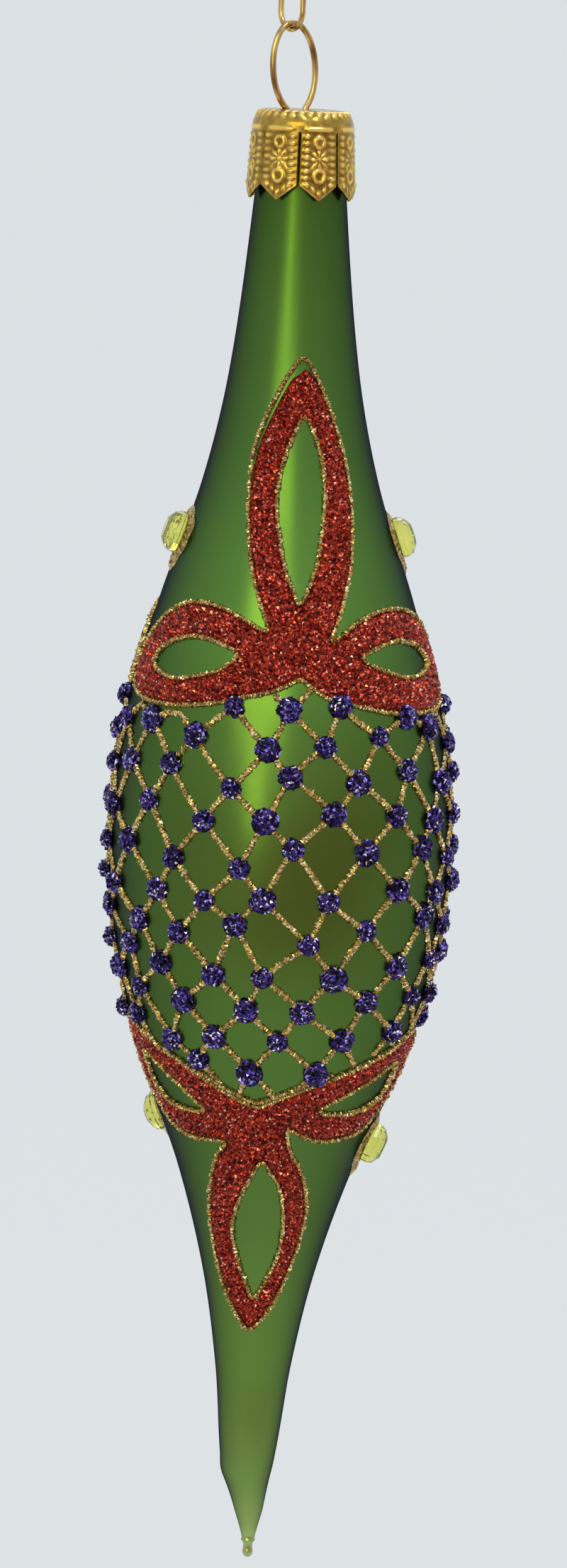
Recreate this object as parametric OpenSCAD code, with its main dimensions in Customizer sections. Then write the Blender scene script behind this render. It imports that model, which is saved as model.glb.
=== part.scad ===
// Spindle-shaped blown-glass tree ornament with a crown cap, a spring hanger and raised glitter decoration.
// Millimetres. Origin at the top inside of the hanging link, where the ornament bears on what holds it.
// +Z is up and the front faces -Y.

/* [Hanging link] */
// Thickness of the link's wire
link_wire_d = 0.66; // [0.5:0.02:0.8]
// Width of the link between wire centres
link_width = 4.3; // [3.8:0.1:6]
// Height of the link between wire centres
link_height = 7.4; // [6:0.1:12]

/* [Spring hanger] */
// Thickness of the hanger's spring wire
hanger_wire_d = 0.72; // [0.5:0.02:0.9]
// Width of the hanger's eye between wire centres
eye_width = 5.8; // [5:0.1:8]
// Height of the ellipse that the eye follows, between wire centres
eye_height = 10.2; // [9:0.1:14]
// Gap between the two wires where they enter the cap, between wire centres
eye_foot_gap = 2.3; // [1.8:0.1:3]
// Lean of the eye away from the glass's axis
eye_lean = 7; // [0:0.5:10]
// Distance of the eye's foot from the cap's centre
eye_shift = 1; // [0:0.1:1.4]
// Turn of the eye's plane from the front view
eye_turn = 35; // [0:5:60]
// Depth of the spring legs below the top of the cap
leg_length = 18; // [12:0.5:30]
// Spread of the spring legs at their ends, between wire centres
leg_spread = 6.6; // [5:0.1:7]

/* [Crown cap] */
// Height of the cap from its top to the tips of its petals
cap_height = 10.1; // [9:0.1:13]
// Diameter across the petals at their tips
cap_tip_d = 12.4; // [12.2:0.1:14]
// Diameter of the cap below its rounded shoulder
cap_shoulder_d = 11.6; // [11.4:0.1:12.2]
// Radius of the rounded shoulder
cap_shoulder_r = 1.4; // [1:0.1:1.5]
// Thickness of the stamped sheet
cap_wall = 0.35; // [0.2:0.05:0.4]
// Number of petals
petal_count = 8; // [6:1:10]
// Width of the slit between two petals
slit_width = 0.35; // [0.2:0.05:0.6]
// Depth of the unslit band at the top of the cap
cap_band = 2.4; // [2:0.1:4]
// Height of the pointed end of a petal
petal_point = 1.7; // [1:0.1:2.5]
// Direction that the first slit faces, from the front
petal_turn = -3; // [-22:1:22]

/* [Glass] */
// Length of the glass from its rim to the nib
glass_length = 168; // [150:1:190]
// Depth of the widest place below the rim
belly_depth = 83; // [78:1:88]
// Diameter at the widest place
belly_d = 39.4; // [37:0.2:43]
// Diameter of the neck at its rim
neck_d = 9.7; // [9.4:0.1:10]
// Diameter where the drawn tail ends
tail_d = 1.2; // [1:0.1:2]
// Diameter of the drop of glass that seals the tail
nib_d = 1.3; // [1.2:0.1:2]
// Thickness of the glass wall
glass_wall = 0.9; // [0.6:0.1:1]

/* [Glitter ribbons] */
// Thickness of the red glitter coat
ribbon_height = 0.6; // [0.3:0.05:1]
// Width of the gold bead along a ribbon's edges
edging_width = 0.8; // [0.5:0.05:1]
// Height of the gold bead along a ribbon's edges
edging_height = 0.4; // [0.2:0.05:0.6]
// Direction that the upper front ribbon faces
upper_ribbon_turn = 6; // [-10:1:10]
// Direction that the lower front ribbon faces
lower_ribbon_turn = -4; // [-10:1:10]

/* [Glitter net] */
// Number of dots in one row round the glass
net_columns = 16; // [10:1:16]
// Number of rows of dots
net_rows = 11; // [6:1:11]
// Place of the first row below the rim, as a share of the glass's length
net_start_share = 0.398; // [0.385:0.001:0.42]
// Distance between rows, as a share of the glass's length
net_pitch_share = 0.0244; // [0.0236:0.0002:0.0264]
// Direction of the first dot in the second row
net_turn = -6.75; // [-12:0.25:12]
// Turn that each row adds to the one above it
net_twist = 1.25; // [0:0.05:3]
// Width of a net line
line_width = 0.8; // [0.4:0.05:1.2]
// Height of a net line
line_height = 0.5; // [0.3:0.05:0.8]
// Diameter of a violet dot
dot_d = 3.1; // [2.4:0.1:3.4]
// Height of a violet dot
dot_height = 1.4; // [0.8:0.1:1.6]

/* [Stones] */
// Diameter of a faceted stone
stone_d = 5.2; // [4:0.1:6]
// Height of the stone's straight girdle
girdle_height = 0.8; // [0.4:0.1:1.2]
// Height of the stone's cut crown
crown_height = 1.6; // [1:0.1:2.2]
// Width of the glitter bed that shows around a stone
bed_margin = 1; // [0.6:0.1:1.6]
// Thickness of the glitter bed
bed_height = 0.5; // [0.3:0.05:0.8]
// Place of the upper stones below the rim, as a share of the glass's length
upper_stone_share = 0.286; // [0.26:0.002:0.3]
// Distance of the lower stones below the tips of the lower ribbons' side loops
lower_stone_drop = 13; // [11:0.5:16]

/* [Clearances] */
// Gap between the link and the hanger's eye where one bears on the other
seat_gap = 0.05; // [0.03:0.01:0.1]
// Gap between the rim of the glass and the underside of the cap
rim_gap = 0.3; // [0.2:0.05:0.5]
// Gap between the wire and the slot in the cap
slot_gap = 0.2; // [0.1:0.05:0.3]
// Layer of glue between the glass and what lies on it
glue = 0.2; // [0.2:0.05:0.3]
// Gap between two pieces of decoration
trim_gap = 0.1; // [0.05:0.05:0.2]
// Angle that a ribbon's side loops keep from the upright between the front and the back ribbon
ribbon_room = 2; // [1:0.5:4]

/* [Hidden] */
$fn = 64;
GOLD = [0.80, 0.62, 0.24];
GOLD_GLITTER = [0.74, 0.56, 0.22];
GREEN = [0.20, 0.40, 0.10];
RED = [0.66, 0.10, 0.06];
VIOLET = [0.20, 0.12, 0.55];
STONE = [0.85, 0.90, 0.30];

// Link and eye
link_bottom = link_wire_d / 2 - link_height;
eye_top = link_bottom + (link_wire_d + hanger_wire_d) / 2 + seat_gap;
eye_end = 180 - asin(eye_foot_gap / eye_width);
eye_centre = -eye_height / 2 * cos(eye_end);
eye_reach = eye_centre + eye_height / 2;
eye_step_count = 40;
leg_step_count = 8;
wire_side_count = 10;
foot_offset = eye_reach * sin(eye_lean);
cap_top = eye_top - eye_reach * cos(eye_lean);

// Cap and glass share the axis of the glass
axis_offset = foot_offset + eye_shift;
axis_x = axis_offset * cos(eye_turn);
axis_y = axis_offset * sin(eye_turn);
rim_top = cap_top - cap_wall - rim_gap;
slot_width = hanger_wire_d + 2 * slot_gap;
slot_reach = eye_shift + eye_foot_gap / 2;

// Share of the swell from neck to belly, and from tail to belly, at shares of the way down
UPPER_SWELL = [[0, 0], [0.115, 0.03], [0.35, 0.174], [0.505, 0.357], [0.663, 0.65], [0.82, 0.9], [1, 1]];
LOWER_SWELL = [[0, 1], [0.14, 0.953], [0.3, 0.78], [0.455, 0.506], [0.6, 0.315],
    [0.735, 0.202], [0.87, 0.133], [0.935, 0.064], [1, 0]];
glass_step_count = 64;
nib_step_count = 10;
cavity_end = 0.93 * glass_length;

// Ribbon outlines as [distance round the glass, depth below the rim], in thousandths of the belly's diameter
// and of the glass's length, paired point by point with their holes. A tall loop is one half, from the knot
// to its tip. A side loop is the right-hand one.
UPPER_TALL = [[0, 360], [48, 354], [90, 345], [140, 308], [157, 268], [122, 218], [68, 188], [0, 163]];
UPPER_TALL_HOLE = [[0, 324], [15, 317], [28, 310], [53, 288], [68, 263], [58, 233], [30, 214], [0, 202]];
UPPER_SIDE = [[0, 363], [90, 348], [178, 336], [305, 328], [457, 336], [594, 360],
    [635, 379], [574, 394], [406, 396], [241, 392], [114, 386], [0, 373]];
UPPER_SIDE_HOLE = [[185, 360], [200, 356], [244, 352], [325, 349], [431, 354], [500, 363],
    [518, 369], [482, 374], [391, 377], [292, 372], [226, 366], [193, 362]];
LOWER_TALL = [[0, 683], [43, 687], [79, 694], [117, 708],
    [147, 738], [137, 765], [104, 791], [48, 821], [0, 834]];
LOWER_TALL_HOLE = [[0, 710], [13, 713], [28, 718], [48, 727],
    [71, 750], [70, 768], [51, 786], [23, 802], [0, 810]];
LOWER_SIDE = [[0, 679], [79, 690], [137, 692], [223, 693], [315, 687], [416, 673], [508, 651],
    [584, 625], [553, 619], [411, 629], [261, 641], [122, 656], [0, 667]];
LOWER_SIDE_HOLE = [[168, 671], [173, 673], [188, 674], [239, 674], [305, 671], [376, 664], [431, 651],
    [462, 638], [442, 638], [360, 646], [274, 657], [203, 665], [175, 669]];
outline_step_count = 3;
band_step_count = 2;

// Corners of the side loops' outlines between which their edge faces the net
UPPER_EDGE = [11, 7];
LOWER_EDGE = [12, 8];
net_start = net_start_share * glass_length;
net_pitch = net_pitch_share * glass_length;
upper_stone_depth = upper_stone_share * glass_length;
lower_stone_depth = LOWER_SIDE[LOWER_EDGE[1]][1] / 1000 * glass_length + lower_stone_drop;
line_step_count = 40;

// The ribbons as [name, upper, facing] and the stones as [name, depth, facing]
RIBBONS = [["upper_front_ribbon", true, 0], ["upper_back_ribbon", true, 180],
    ["lower_front_ribbon", false, 0], ["lower_back_ribbon", false, 180]];
STONES = [["upper_left", upper_stone_depth, upper_ribbon_turn - 90],
    ["upper_right", upper_stone_depth, upper_ribbon_turn + 90],
    ["lower_left", lower_stone_depth, lower_ribbon_turn - 90],
    ["lower_right", lower_stone_depth, lower_ribbon_turn + 90]];

// Smooth curve through points
function blend(a, b, t) = a + (b - a) * t;
function slope(points, i) =
    let (lo = max(0, i - 1), hi = min(len(points) - 1, i + 1))
    (points[hi][1] - points[lo][1]) / (points[hi][0] - points[lo][0]);
function level_ends(points, i) = i == 0 || i == len(points) - 1 ? 0 : slope(points, i);
function span_of(points, x, i = 0) =
    i >= len(points) - 2 || x < points[i + 1][0] ? i : span_of(points, x, i + 1);
function curve_at(points, x) =
    let (i = span_of(points, x), w = points[i + 1][0] - points[i][0], t = (x - points[i][0]) / w)
    (2 * t ^ 3 - 3 * t ^ 2 + 1) * points[i][1] + (t ^ 3 - 2 * t ^ 2 + t) * w * level_ends(points, i)
    + (3 * t ^ 2 - 2 * t ^ 3) * points[i + 1][1] + (t ^ 3 - t ^ 2) * w * level_ends(points, i + 1);
function spline(a, b, c, d, t) =
    0.5 * (2 * b + (c - a) * t + (2 * a - 5 * b + 4 * c - d) * t ^ 2 + (3 * b - a - 3 * c + d) * t ^ 3);
function closed_curve(points) = let (n = len(points))
    [for (i = [0:n - 1]) for (k = [0:outline_step_count - 1])
        spline(points[(i + n - 1) % n], points[i], points[(i + 1) % n], points[(i + 2) % n],
            k / outline_step_count)];
function open_curve(points) = let (n = len(points))
    [for (i = [0:n - 2]) for (k = [0:outline_step_count - 1])
        spline(points[max(0, i - 1)], points[i], points[i + 1], points[min(n - 1, i + 2)],
            k / outline_step_count),
        points[n - 1]];
function mirrored(p) = [-p[0], p[1]];
function fitted(points, draw = 1) =
    [for (p = points) [p[0] * belly_d * draw, p[1] * glass_length] / 1000];

// The glass as radius against depth below the rim, and places on and above its surface
function glass_radius(s) = s < belly_depth
    ? blend(neck_d, belly_d, curve_at(UPPER_SWELL, s / belly_depth)) / 2
    : blend(tail_d, belly_d, curve_at(LOWER_SWELL, (s - belly_depth) / (glass_length - belly_depth))) / 2;
function glass_slope(s) = (glass_radius(s + 0.05) - glass_radius(s - 0.05)) / 0.1;
function outward(az, s) = let (g = glass_slope(s), n = sqrt(1 + g * g)) [sin(az) / n, -cos(az) / n, g / n];
function on_glass(az, s, lift) =
    let (r = glass_radius(s)) [r * sin(az), -r * cos(az), -s] + lift * outward(az, s);
function turn_of(across, s) = across / glass_radius(s) * 180 / PI;
function unit(v) = v / norm(v);

module in_glass_frame() {
    translate([axis_x, axis_y, rim_top]) children();
}

// Lays +X along a direction and +Z along a surface normal
module lay_along(place, along, normal) {
    side = unit(cross(normal, along));
    up = cross(along, side);
    multmatrix([
        [along[0], side[0], up[0], place[0]],
        [along[1], side[1], up[1], place[1]],
        [along[2], side[2], up[2], place[2]]])
        children();
}

// Joins rings of points into a closed skin; a loop has no ends
module skin(rings, loop) {
    n = len(rings);
    m = len(rings[0]);
    sides = [for (i = [0:loop ? n - 1 : n - 2]) for (j = [0:m - 1])
        let (a = i * m, b = (i + 1) % n * m, k = (j + 1) % m)
        each [[a + j, a + k, b + k], [a + j, b + k, b + j]]];
    ends = loop ? [] : [[for (j = [m - 1:-1:0]) j], [for (j = [0:m - 1]) (n - 1) * m + j]];
    polyhedron(points = [for (ring = rings) each ring], faces = concat(sides, ends));
}

module hanging_link() {
    reach = (link_height - link_width) / 2;
    color(GOLD)
    translate([0, 0, link_wire_d / 2 - link_height / 2])
    rotate([0, 0, eye_turn - 90])
    for (end = [0, 180])
        rotate([0, end, 0]) {
            translate([0, 0, reach])
            rotate([90, 0, 0])
            rotate_extrude(angle = 180)
            translate([link_width / 2, 0])
            circle(d = link_wire_d);
            translate([link_width / 2, 0, -reach])
            cylinder(d = link_wire_d, h = 2 * reach);
        }
}

// Wire path in the eye's plane, from the foot of the eye: left leg, eye, right leg
function eye_point(t) =
    let (x = eye_width / 2 * sin(t), h = eye_centre + eye_height / 2 * cos(t))
    [x * cos(eye_lean) - h * sin(eye_lean), x * sin(eye_lean) + h * cos(eye_lean)];
function leg_point(side, t) =
    let (foot = eye_point(side * eye_end), end = [eye_shift + side * leg_spread / 2, -leg_length])
    [blend(foot[0], end[0], t * t * (3 - 2 * t)), blend(foot[1], end[1], t)];
function wire_path() = concat(
    [for (i = [leg_step_count:-1:1]) leg_point(-1, i / leg_step_count)],
    [for (i = [0:eye_step_count]) eye_point(eye_end * (2 * i / eye_step_count - 1))],
    [for (i = [1:leg_step_count]) leg_point(1, i / leg_step_count)]);

module hanger_wire() {
    path = wire_path();
    last = len(path) - 1;
    rings = [for (i = [0:last])
        let (
            before = unit(path[max(i, 1)] - path[max(i, 1) - 1]),
            after = unit(path[min(i, last - 1) + 1] - path[min(i, last - 1)]),
            along = unit(before + after),
            miter = hanger_wire_d / 2 / (along * after))
        [for (k = [0:wire_side_count - 1])
            let (a = 360 * k / wire_side_count)
            [path[i][0], 0, path[i][1]]
                + miter * cos(a) * [along[1], 0, -along[0]] + hanger_wire_d / 2 * sin(a) * [0, 1, 0]]];
    color(GOLD)
    translate([foot_offset * cos(eye_turn), foot_offset * sin(eye_turn), cap_top])
    rotate([0, 0, eye_turn])
    skin(rings, false);
}

// Half outline of the cap's sheet, inset by a depth from the outside
function cap_outline(inset) =
    let (top_r = cap_shoulder_d / 2 - cap_shoulder_r, turns = 6)
    concat(
        [[0, -inset]],
        [for (i = [0:turns]) let (a = 90 - 90 * i / turns)
            [top_r + (cap_shoulder_r - inset) * cos(a), (cap_shoulder_r - inset) * sin(a) - cap_shoulder_r]],
        [[cap_tip_d / 2 - inset, -cap_height]]);

module crown_cap() {
    pitch = cap_tip_d * PI / petal_count;
    color(GOLD)
    translate([axis_x, axis_y, cap_top])
    difference() {
        rotate_extrude()
        polygon(concat(cap_outline(0), [for (i = [len(cap_outline(0)) - 1:-1:0]) cap_outline(cap_wall)[i]]));
        for (i = [0:petal_count - 1])
            rotate([0, 0, petal_turn - 90 + i * 360 / petal_count])
            rotate([90, 0, 90])
            linear_extrude(height = cap_tip_d)
            polygon([
                [slit_width / 2, -cap_band],
                [slit_width / 2, petal_point - cap_height],
                [pitch / 2, -cap_height - 0.01],
                [-pitch / 2, -cap_height - 0.01],
                [-slit_width / 2, petal_point - cap_height],
                [-slit_width / 2, -cap_band]]);
        rotate([0, 0, eye_turn])
        translate([0, 0, -2 * cap_wall])
        linear_extrude(height = 3 * cap_wall) {
            square([2 * slot_reach, slot_width], center = true);
            for (side = [-1, 1])
                translate([side * slot_reach, 0])
                circle(d = slot_width);
        }
    }
}

module glass_shell() {
    outside = [for (i = [0:glass_step_count])
        let (s = glass_length * i / glass_step_count)
        [glass_radius(s), -s]];
    seal = asin(tail_d / nib_d);
    nib_centre = -glass_length - nib_d / 2 * cos(seal);
    nib = [for (i = [1:nib_step_count]) let (a = blend(90 - seal, -90, i / nib_step_count))
        [max(0, nib_d / 2 * cos(a)), nib_centre + nib_d / 2 * sin(a)]];
    inside = [for (i = [glass_step_count:-1:0])
        let (s = cavity_end * i / glass_step_count)
        [glass_radius(s) - glass_wall, -s]];
    color(GREEN)
    in_glass_frame()
    rotate_extrude()
    polygon(concat(outside, nib, [[0, -cavity_end - glass_wall]], inside));
}

// Ribbons: each loop is a band between an outline and the outline of its hole
function tall_outline(half) = let (right = open_curve(half), n = len(right))
    concat(right, [for (i = [n - 2:-1:1]) mirrored(right[i])]);
function side_outline(points, side) =
    [for (p = closed_curve(points)) [side * max(trim_gap / 2, p[0]), p[1]]];
function shifted(from, to, distance) = from + unit(to - from) * distance;
function laid(p, turn, lift) = on_glass(turn + turn_of(p[0], p[1]), p[1], lift);

function band(from, to, turn, lift) =
    [for (k = [0:band_step_count]) laid(blend(from, to, k / band_step_count), turn, lift)];

module ribbon_loop(outer, hole, turn) {
    inner_first = cross(outer[1] - outer[0], hole[0] - outer[0]) < 0;
    rings = [for (i = [0:len(outer) - 1])
        let (a = inner_first ? hole[i] : outer[i], b = inner_first ? outer[i] : hole[i])
        concat(band(a, b, turn, glue), band(b, a, turn, glue + ribbon_height))];
    skin(rings, true);
}

module bead(points, turn, loop) {
    n = len(points);
    base = glue + ribbon_height + trim_gap;
    rings = [for (i = [0:n - 1])
        let (
            before = points[loop ? (i + n - 1) % n : max(0, i - 1)],
            after = points[loop ? (i + 1) % n : min(n - 1, i + 1)],
            along = unit(laid(after, turn, base) - laid(before, turn, base)),
            up = outward(turn + turn_of(points[i][0], points[i][1]), points[i][1]),
            side = unit(cross(up, along)) * edging_width / 2,
            low = laid(points[i], turn, base),
            high = low + up * edging_height)
        [low - side, high - side / 2, high + side / 2, low + side]];
    skin(rings, loop);
}

function upper_or_lower(upper, turn) = turn + (upper ? upper_ribbon_turn : lower_ribbon_turn);

// A ribbon is drawn in round the glass where its side loops would meet those of the other face
function reach_of(points) = max([for (p = fitted(points)) turn_of(p[0], p[1])]);
upper_draw = min(1, (90 - ribbon_room) / reach_of(UPPER_SIDE));
lower_draw = min(1, (90 - ribbon_room) / reach_of(LOWER_SIDE));
function drawn(upper, upper_points, lower_points) =
    upper ? fitted(upper_points, upper_draw) : fitted(lower_points, lower_draw);
function tall_half(upper) = drawn(upper, UPPER_TALL, LOWER_TALL);
function tall_hole_half(upper) = drawn(upper, UPPER_TALL_HOLE, LOWER_TALL_HOLE);
function side_points(upper) = drawn(upper, UPPER_SIDE, LOWER_SIDE);
function side_hole_points(upper) = drawn(upper, UPPER_SIDE_HOLE, LOWER_SIDE_HOLE);

module ribbon(upper, facing) {
    turn = upper_or_lower(upper, facing);
    color(RED)
    in_glass_frame() {
        ribbon_loop(tall_outline(tall_half(upper)), tall_outline(tall_hole_half(upper)), turn);
        ribbon_loop(side_outline(side_points(upper), 1), side_outline(side_hole_points(upper), 1), turn);
        mirror_round(turn)
        ribbon_loop(side_outline(side_points(upper), 1), side_outline(side_hole_points(upper), 1), turn);
    }
}

// Mirrors a piece across the upright plane that faces a direction
module mirror_round(turn) {
    rotate([0, 0, turn])
    mirror([1, 0, 0])
    rotate([0, 0, -turn])
    children();
}

module ribbon_edging(upper, facing) {
    turn = upper_or_lower(upper, facing);
    inset = edging_width / 2 + trim_gap;
    tall = tall_outline(tall_half(upper));
    tall_hole = tall_outline(tall_hole_half(upper));
    side = side_outline(side_points(upper), 1);
    side_hole = side_outline(side_hole_points(upper), 1);
    knot = 2 * outline_step_count;
    color(GOLD_GLITTER)
    in_glass_frame() {
        bead([for (i = [knot:len(tall) - knot]) shifted(tall[i], tall_hole[i], inset)], turn, false);
        bead([for (i = [0:len(tall) - 1]) shifted(tall_hole[i], tall[i], inset)], turn, true);
        for (half = [0, 1])
            mirror_if(half == 1, turn) {
                bead([for (i = [knot - 1:len(side) - outline_step_count])
                    shifted(side[i], side_hole[i], inset)], turn, false);
                bead([for (i = [0:len(side) - 1]) shifted(side_hole[i], side[i], inset)], turn, true);
            }
    }
}

module mirror_if(flip, turn) {
    if (flip)
        mirror_round(turn) children();
    else
        children();
}

// Net of gold lines with a dot at each crossing
function folded(turn) = let (a = ((turn % 180) + 180) % 180) min(a, 180 - a);
function ribbon_edge(points, corners) =
    [for (i = [corners[0]:-1:corners[1]]) [turn_of(points[i][0], points[i][1]), points[i][1]]];
upper_edge = ribbon_edge(side_points(true), UPPER_EDGE);
lower_edge = ribbon_edge(side_points(false), LOWER_EDGE);
function net_top(az) = lookup(folded(az - upper_ribbon_turn), upper_edge) + trim_gap;
function net_bottom(az) = lookup(folded(az - lower_ribbon_turn), lower_edge) - trim_gap;
function crossing_turn(row, column) =
    net_turn + net_twist * (row - 1) + (column + (row % 2 == 0 ? 0.5 : 0)) * 360 / net_columns;
dot_room = dot_d / 2 + trim_gap;
function crossing_depth(row, column) =
    let (az = crossing_turn(row, column))
    min(max(net_start + net_pitch * row, net_top(az) + dot_room), net_bottom(az) - dot_room);
function has_dot(row, column) = row >= 0 && row < net_rows
    && abs(crossing_depth(row, column) - net_start - net_pitch * row) < net_pitch / 2;

module dot(az, s) {
    n = outward(az, s);
    ball = (dot_d ^ 2 / 4 + dot_height ^ 2) / (2 * dot_height);
    lay_along(on_glass(az, s, glue), unit(cross([0, 0, 1], n)), n)
    rotate_extrude()
    intersection() {
        translate([0, dot_height - ball])
        circle(ball);
        square([dot_d / 2, dot_height]);
    }
}

module violet_dots(row) {
    color(VIOLET)
    in_glass_frame()
    for (column = [0:net_columns - 1])
        if (has_dot(row, column))
            dot(crossing_turn(row, column), crossing_depth(row, column));
}

// A half-round bead from one place to another, both given as [direction, depth]
module net_line(from, to) {
    a = on_glass(from[0], from[1], glue);
    b = on_glass(to[0], to[1], glue);
    lay_along(a, unit(b - a), outward((from[0] + to[0]) / 2, (from[1] + to[1]) / 2))
    rotate([90, 0, 90])
    linear_extrude(height = norm(b - a))
    intersection() {
        translate([0, line_height - line_round])
        circle(line_round);
        translate([-line_width / 2, 0])
        square([line_width, line_height]);
    }
}
line_round = (line_width ^ 2 / 4 + line_height ^ 2) / (2 * line_height);

// Shares of the way between two crossings that a line covers: clear of the dots, and inside the net's edges
function in_net(p) =
    p[1] > net_top(p[0]) + trim_gap + line_width && p[1] < net_bottom(p[0]) - trim_gap - line_width;
function covered(from, to, dot_at_from, dot_at_to) =
    let (length = norm(on_glass(to[0], to[1], 0) - on_glass(from[0], from[1], 0)))
    [for (k = [0:line_step_count])
        let (t = k / line_step_count, p = blend(from, to, t))
        if (in_net(p) && (!dot_at_from || t * length >= dot_room))
            if (!dot_at_to || (1 - t) * length >= dot_room) t];

module net_lines(side) {
    color(GOLD_GLITTER)
    in_glass_frame()
    for (row = [-1:net_rows - 1])
        for (column = [0:net_columns - 1]) {
            step = (row % 2 == 0 ? (side > 0 ? 1 : 0) : (side > 0 ? 0 : -1));
            below = column + step;
            if (has_dot(row, column) || has_dot(row + 1, below)) {
                from = [crossing_turn(row, column), line_depth(row, column)];
                to = [crossing_turn(row + 1, below), line_depth(row + 1, below)];
                run = covered(from, to, has_dot(row, column), has_dot(row + 1, below));
                if (len(run) > 2)
                    net_line(blend(from, to, min(run)), blend(from, to, max(run)));
            }
        }
}
function line_depth(row, column) =
    has_dot(row, column) ? crossing_depth(row, column) : net_start + net_pitch * row;

// Stones, each glued in a bed of gold glitter
module at_stone(depth, az) {
    n = outward(az, depth);
    in_glass_frame()
    lay_along(on_glass(az, depth, 0), unit(cross([0, 0, 1], n)), n)
    children();
}

module stone(depth, az) {
    facets = 12;
    table_d = 0.45 * stone_d;
    bevel_d = 0.8 * stone_d;
    color(STONE)
    at_stone(depth, az)
    translate([0, 0, glue + bed_height + trim_gap]) {
        hull() {
            cylinder(d = stone_d, h = girdle_height, $fn = facets);
            translate([0, 0, girdle_height + crown_height / 2])
            rotate([0, 0, 180 / facets])
            cylinder(d = bevel_d, h = crown_height / 8, $fn = facets);
            translate([0, 0, girdle_height + 0.99 * crown_height])
            cylinder(d = table_d, h = 0.01 * crown_height, $fn = facets);
        }
    }
}

module stone_bed(depth, az) {
    bed_r = stone_d / 2 + bed_margin;
    steps = 8;
    coat = function (lift) [for (i = [-steps:steps])
        let (p = on_glass(90, depth + 2 * bed_r * i / steps, lift))
        [p[0], p[2]]];
    color(GOLD_GLITTER)
    intersection() {
        in_glass_frame()
        rotate_extrude()
        polygon(concat(coat(glue), [for (i = [2 * steps:-1:0]) coat(glue + bed_height)[i]]));
        at_stone(depth, az)
        translate([0, 0, -bed_r])
        cylinder(r = bed_r, h = 2 * bed_r);
    }
}

hanging_link();
hanger_wire();
crown_cap();
glass_shell();
for (r = RIBBONS) {
    ribbon(r[1], r[2]);
    ribbon_edging(r[1], r[2]);
}
net_lines(1);  // net_lines_rightward
net_lines(-1);  // net_lines_leftward
for (row = [0:net_rows - 1])
    violet_dots(row);
for (s = STONES) {
    stone(s[1], s[2]);
    stone_bed(s[1], s[2]);
}
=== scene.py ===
import math

import bmesh
import bpy
import numpy as np
from mathutils import Matrix, Vector
from mathutils.geometry import delaunay_2d_cdt
from mathutils.kdtree import KDTree


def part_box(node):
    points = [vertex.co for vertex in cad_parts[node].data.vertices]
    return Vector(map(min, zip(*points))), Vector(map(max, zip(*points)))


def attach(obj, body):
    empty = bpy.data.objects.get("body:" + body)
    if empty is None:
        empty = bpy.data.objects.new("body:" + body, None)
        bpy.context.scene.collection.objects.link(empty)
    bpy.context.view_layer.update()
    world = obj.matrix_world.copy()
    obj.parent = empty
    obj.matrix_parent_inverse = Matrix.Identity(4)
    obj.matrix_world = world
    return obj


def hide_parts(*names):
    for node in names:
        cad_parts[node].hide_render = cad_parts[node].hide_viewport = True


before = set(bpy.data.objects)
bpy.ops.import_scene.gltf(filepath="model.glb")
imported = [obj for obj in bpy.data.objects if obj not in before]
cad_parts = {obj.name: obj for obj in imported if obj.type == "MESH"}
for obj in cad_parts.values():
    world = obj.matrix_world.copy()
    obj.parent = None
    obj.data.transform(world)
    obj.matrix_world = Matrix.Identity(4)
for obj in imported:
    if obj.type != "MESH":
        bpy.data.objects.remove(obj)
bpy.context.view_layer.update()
scene = bpy.context.scene
scene.view_settings.view_transform = "Standard"
mm = 0.001
depthSpan = 170  # mm below the rim that the tables by depth run over

# The glass sets the place of all that lies on it: depths are mm below its rim, turns degrees from the front
glassForm = {
    "length": 168.0,
    "bellyDepth": 83.0,
    "belly": 39.4,
    "neck": 9.7,
    "tail": 1.2,
    "lipDepth": 0.25,
    # the rounded lip, across from the middle of the wall and up
    "lip": [(-0.4, -0.09), (-0.22, 0.0), (0.0, -0.01), (0.22, 0.0), (0.4, -0.09)],
    "nibStart": 166.6,
    "nibLength": 2.3,
    "nib": [(0, 0.86), (0.25, 0.56), (0.5, 0.55), (0.7, 0.62), (0.9, 0.42), (0.97, 0.2), (1, 0)],
    "wall": 0.9,
    "cavityEnd": 156.2,
    "upperSwell": [(0, 0), (0.115, 0.03), (0.35, 0.174), (0.505, 0.357), (0.663, 0.65), (0.82, 0.9),
                   (1, 1)],
    "lowerSwell": [(0, 1), (0.14, 0.953), (0.3, 0.78), (0.455, 0.506), (0.6, 0.315),
                   (0.735, 0.202), (0.87, 0.133), (0.935, 0.064), (1, 0)],
    # the hand-blown tube wanders sideways by this much, mm at a depth
    "wander": [(0, 0), (40, 0.18), (78, 0.55), (104, 0.62), (121, 0.35), (138, 0.02),
               (150, -0.2), (158.5, -0.34), (163, 0.0), (166, 0.1), (170, 0.1)],
    "bulge": {"depth": 158.2, "reach": 1.3, "height": 0.2, "turn": 1.5},  # on the left of the tail
    "rings": 320,
    "insideRings": 90,
    "nibRings": 26,
    "segments": 168,
}
glassLow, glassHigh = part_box("glass_shell")
axisX = (glassLow.x + glassHigh.x) / 2
axisY = (glassLow.y + glassHigh.y) / 2
rimZ = glassHigh.z


def smoothCurve(points, x):
    xs = np.array([p[0] for p in points], float)
    ys = np.array([p[1] for p in points], float)
    tilt = np.zeros(len(xs))  # level at both ends
    tilt[1:-1] = (ys[2:] - ys[:-2]) / (xs[2:] - xs[:-2])
    i = np.clip(np.searchsorted(xs, x, side="right") - 1, 0, len(xs) - 2)
    w = xs[i + 1] - xs[i]
    t = (x - xs[i]) / w
    return ((2 * t**3 - 3 * t**2 + 1) * ys[i] + (t**3 - 2 * t**2 + t) * w * tilt[i]
            + (3 * t**2 - 2 * t**3) * ys[i + 1] + (t**3 - t**2) * w * tilt[i + 1])


def hill(x, width):
    return np.exp(-(x / width) ** 2)


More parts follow.
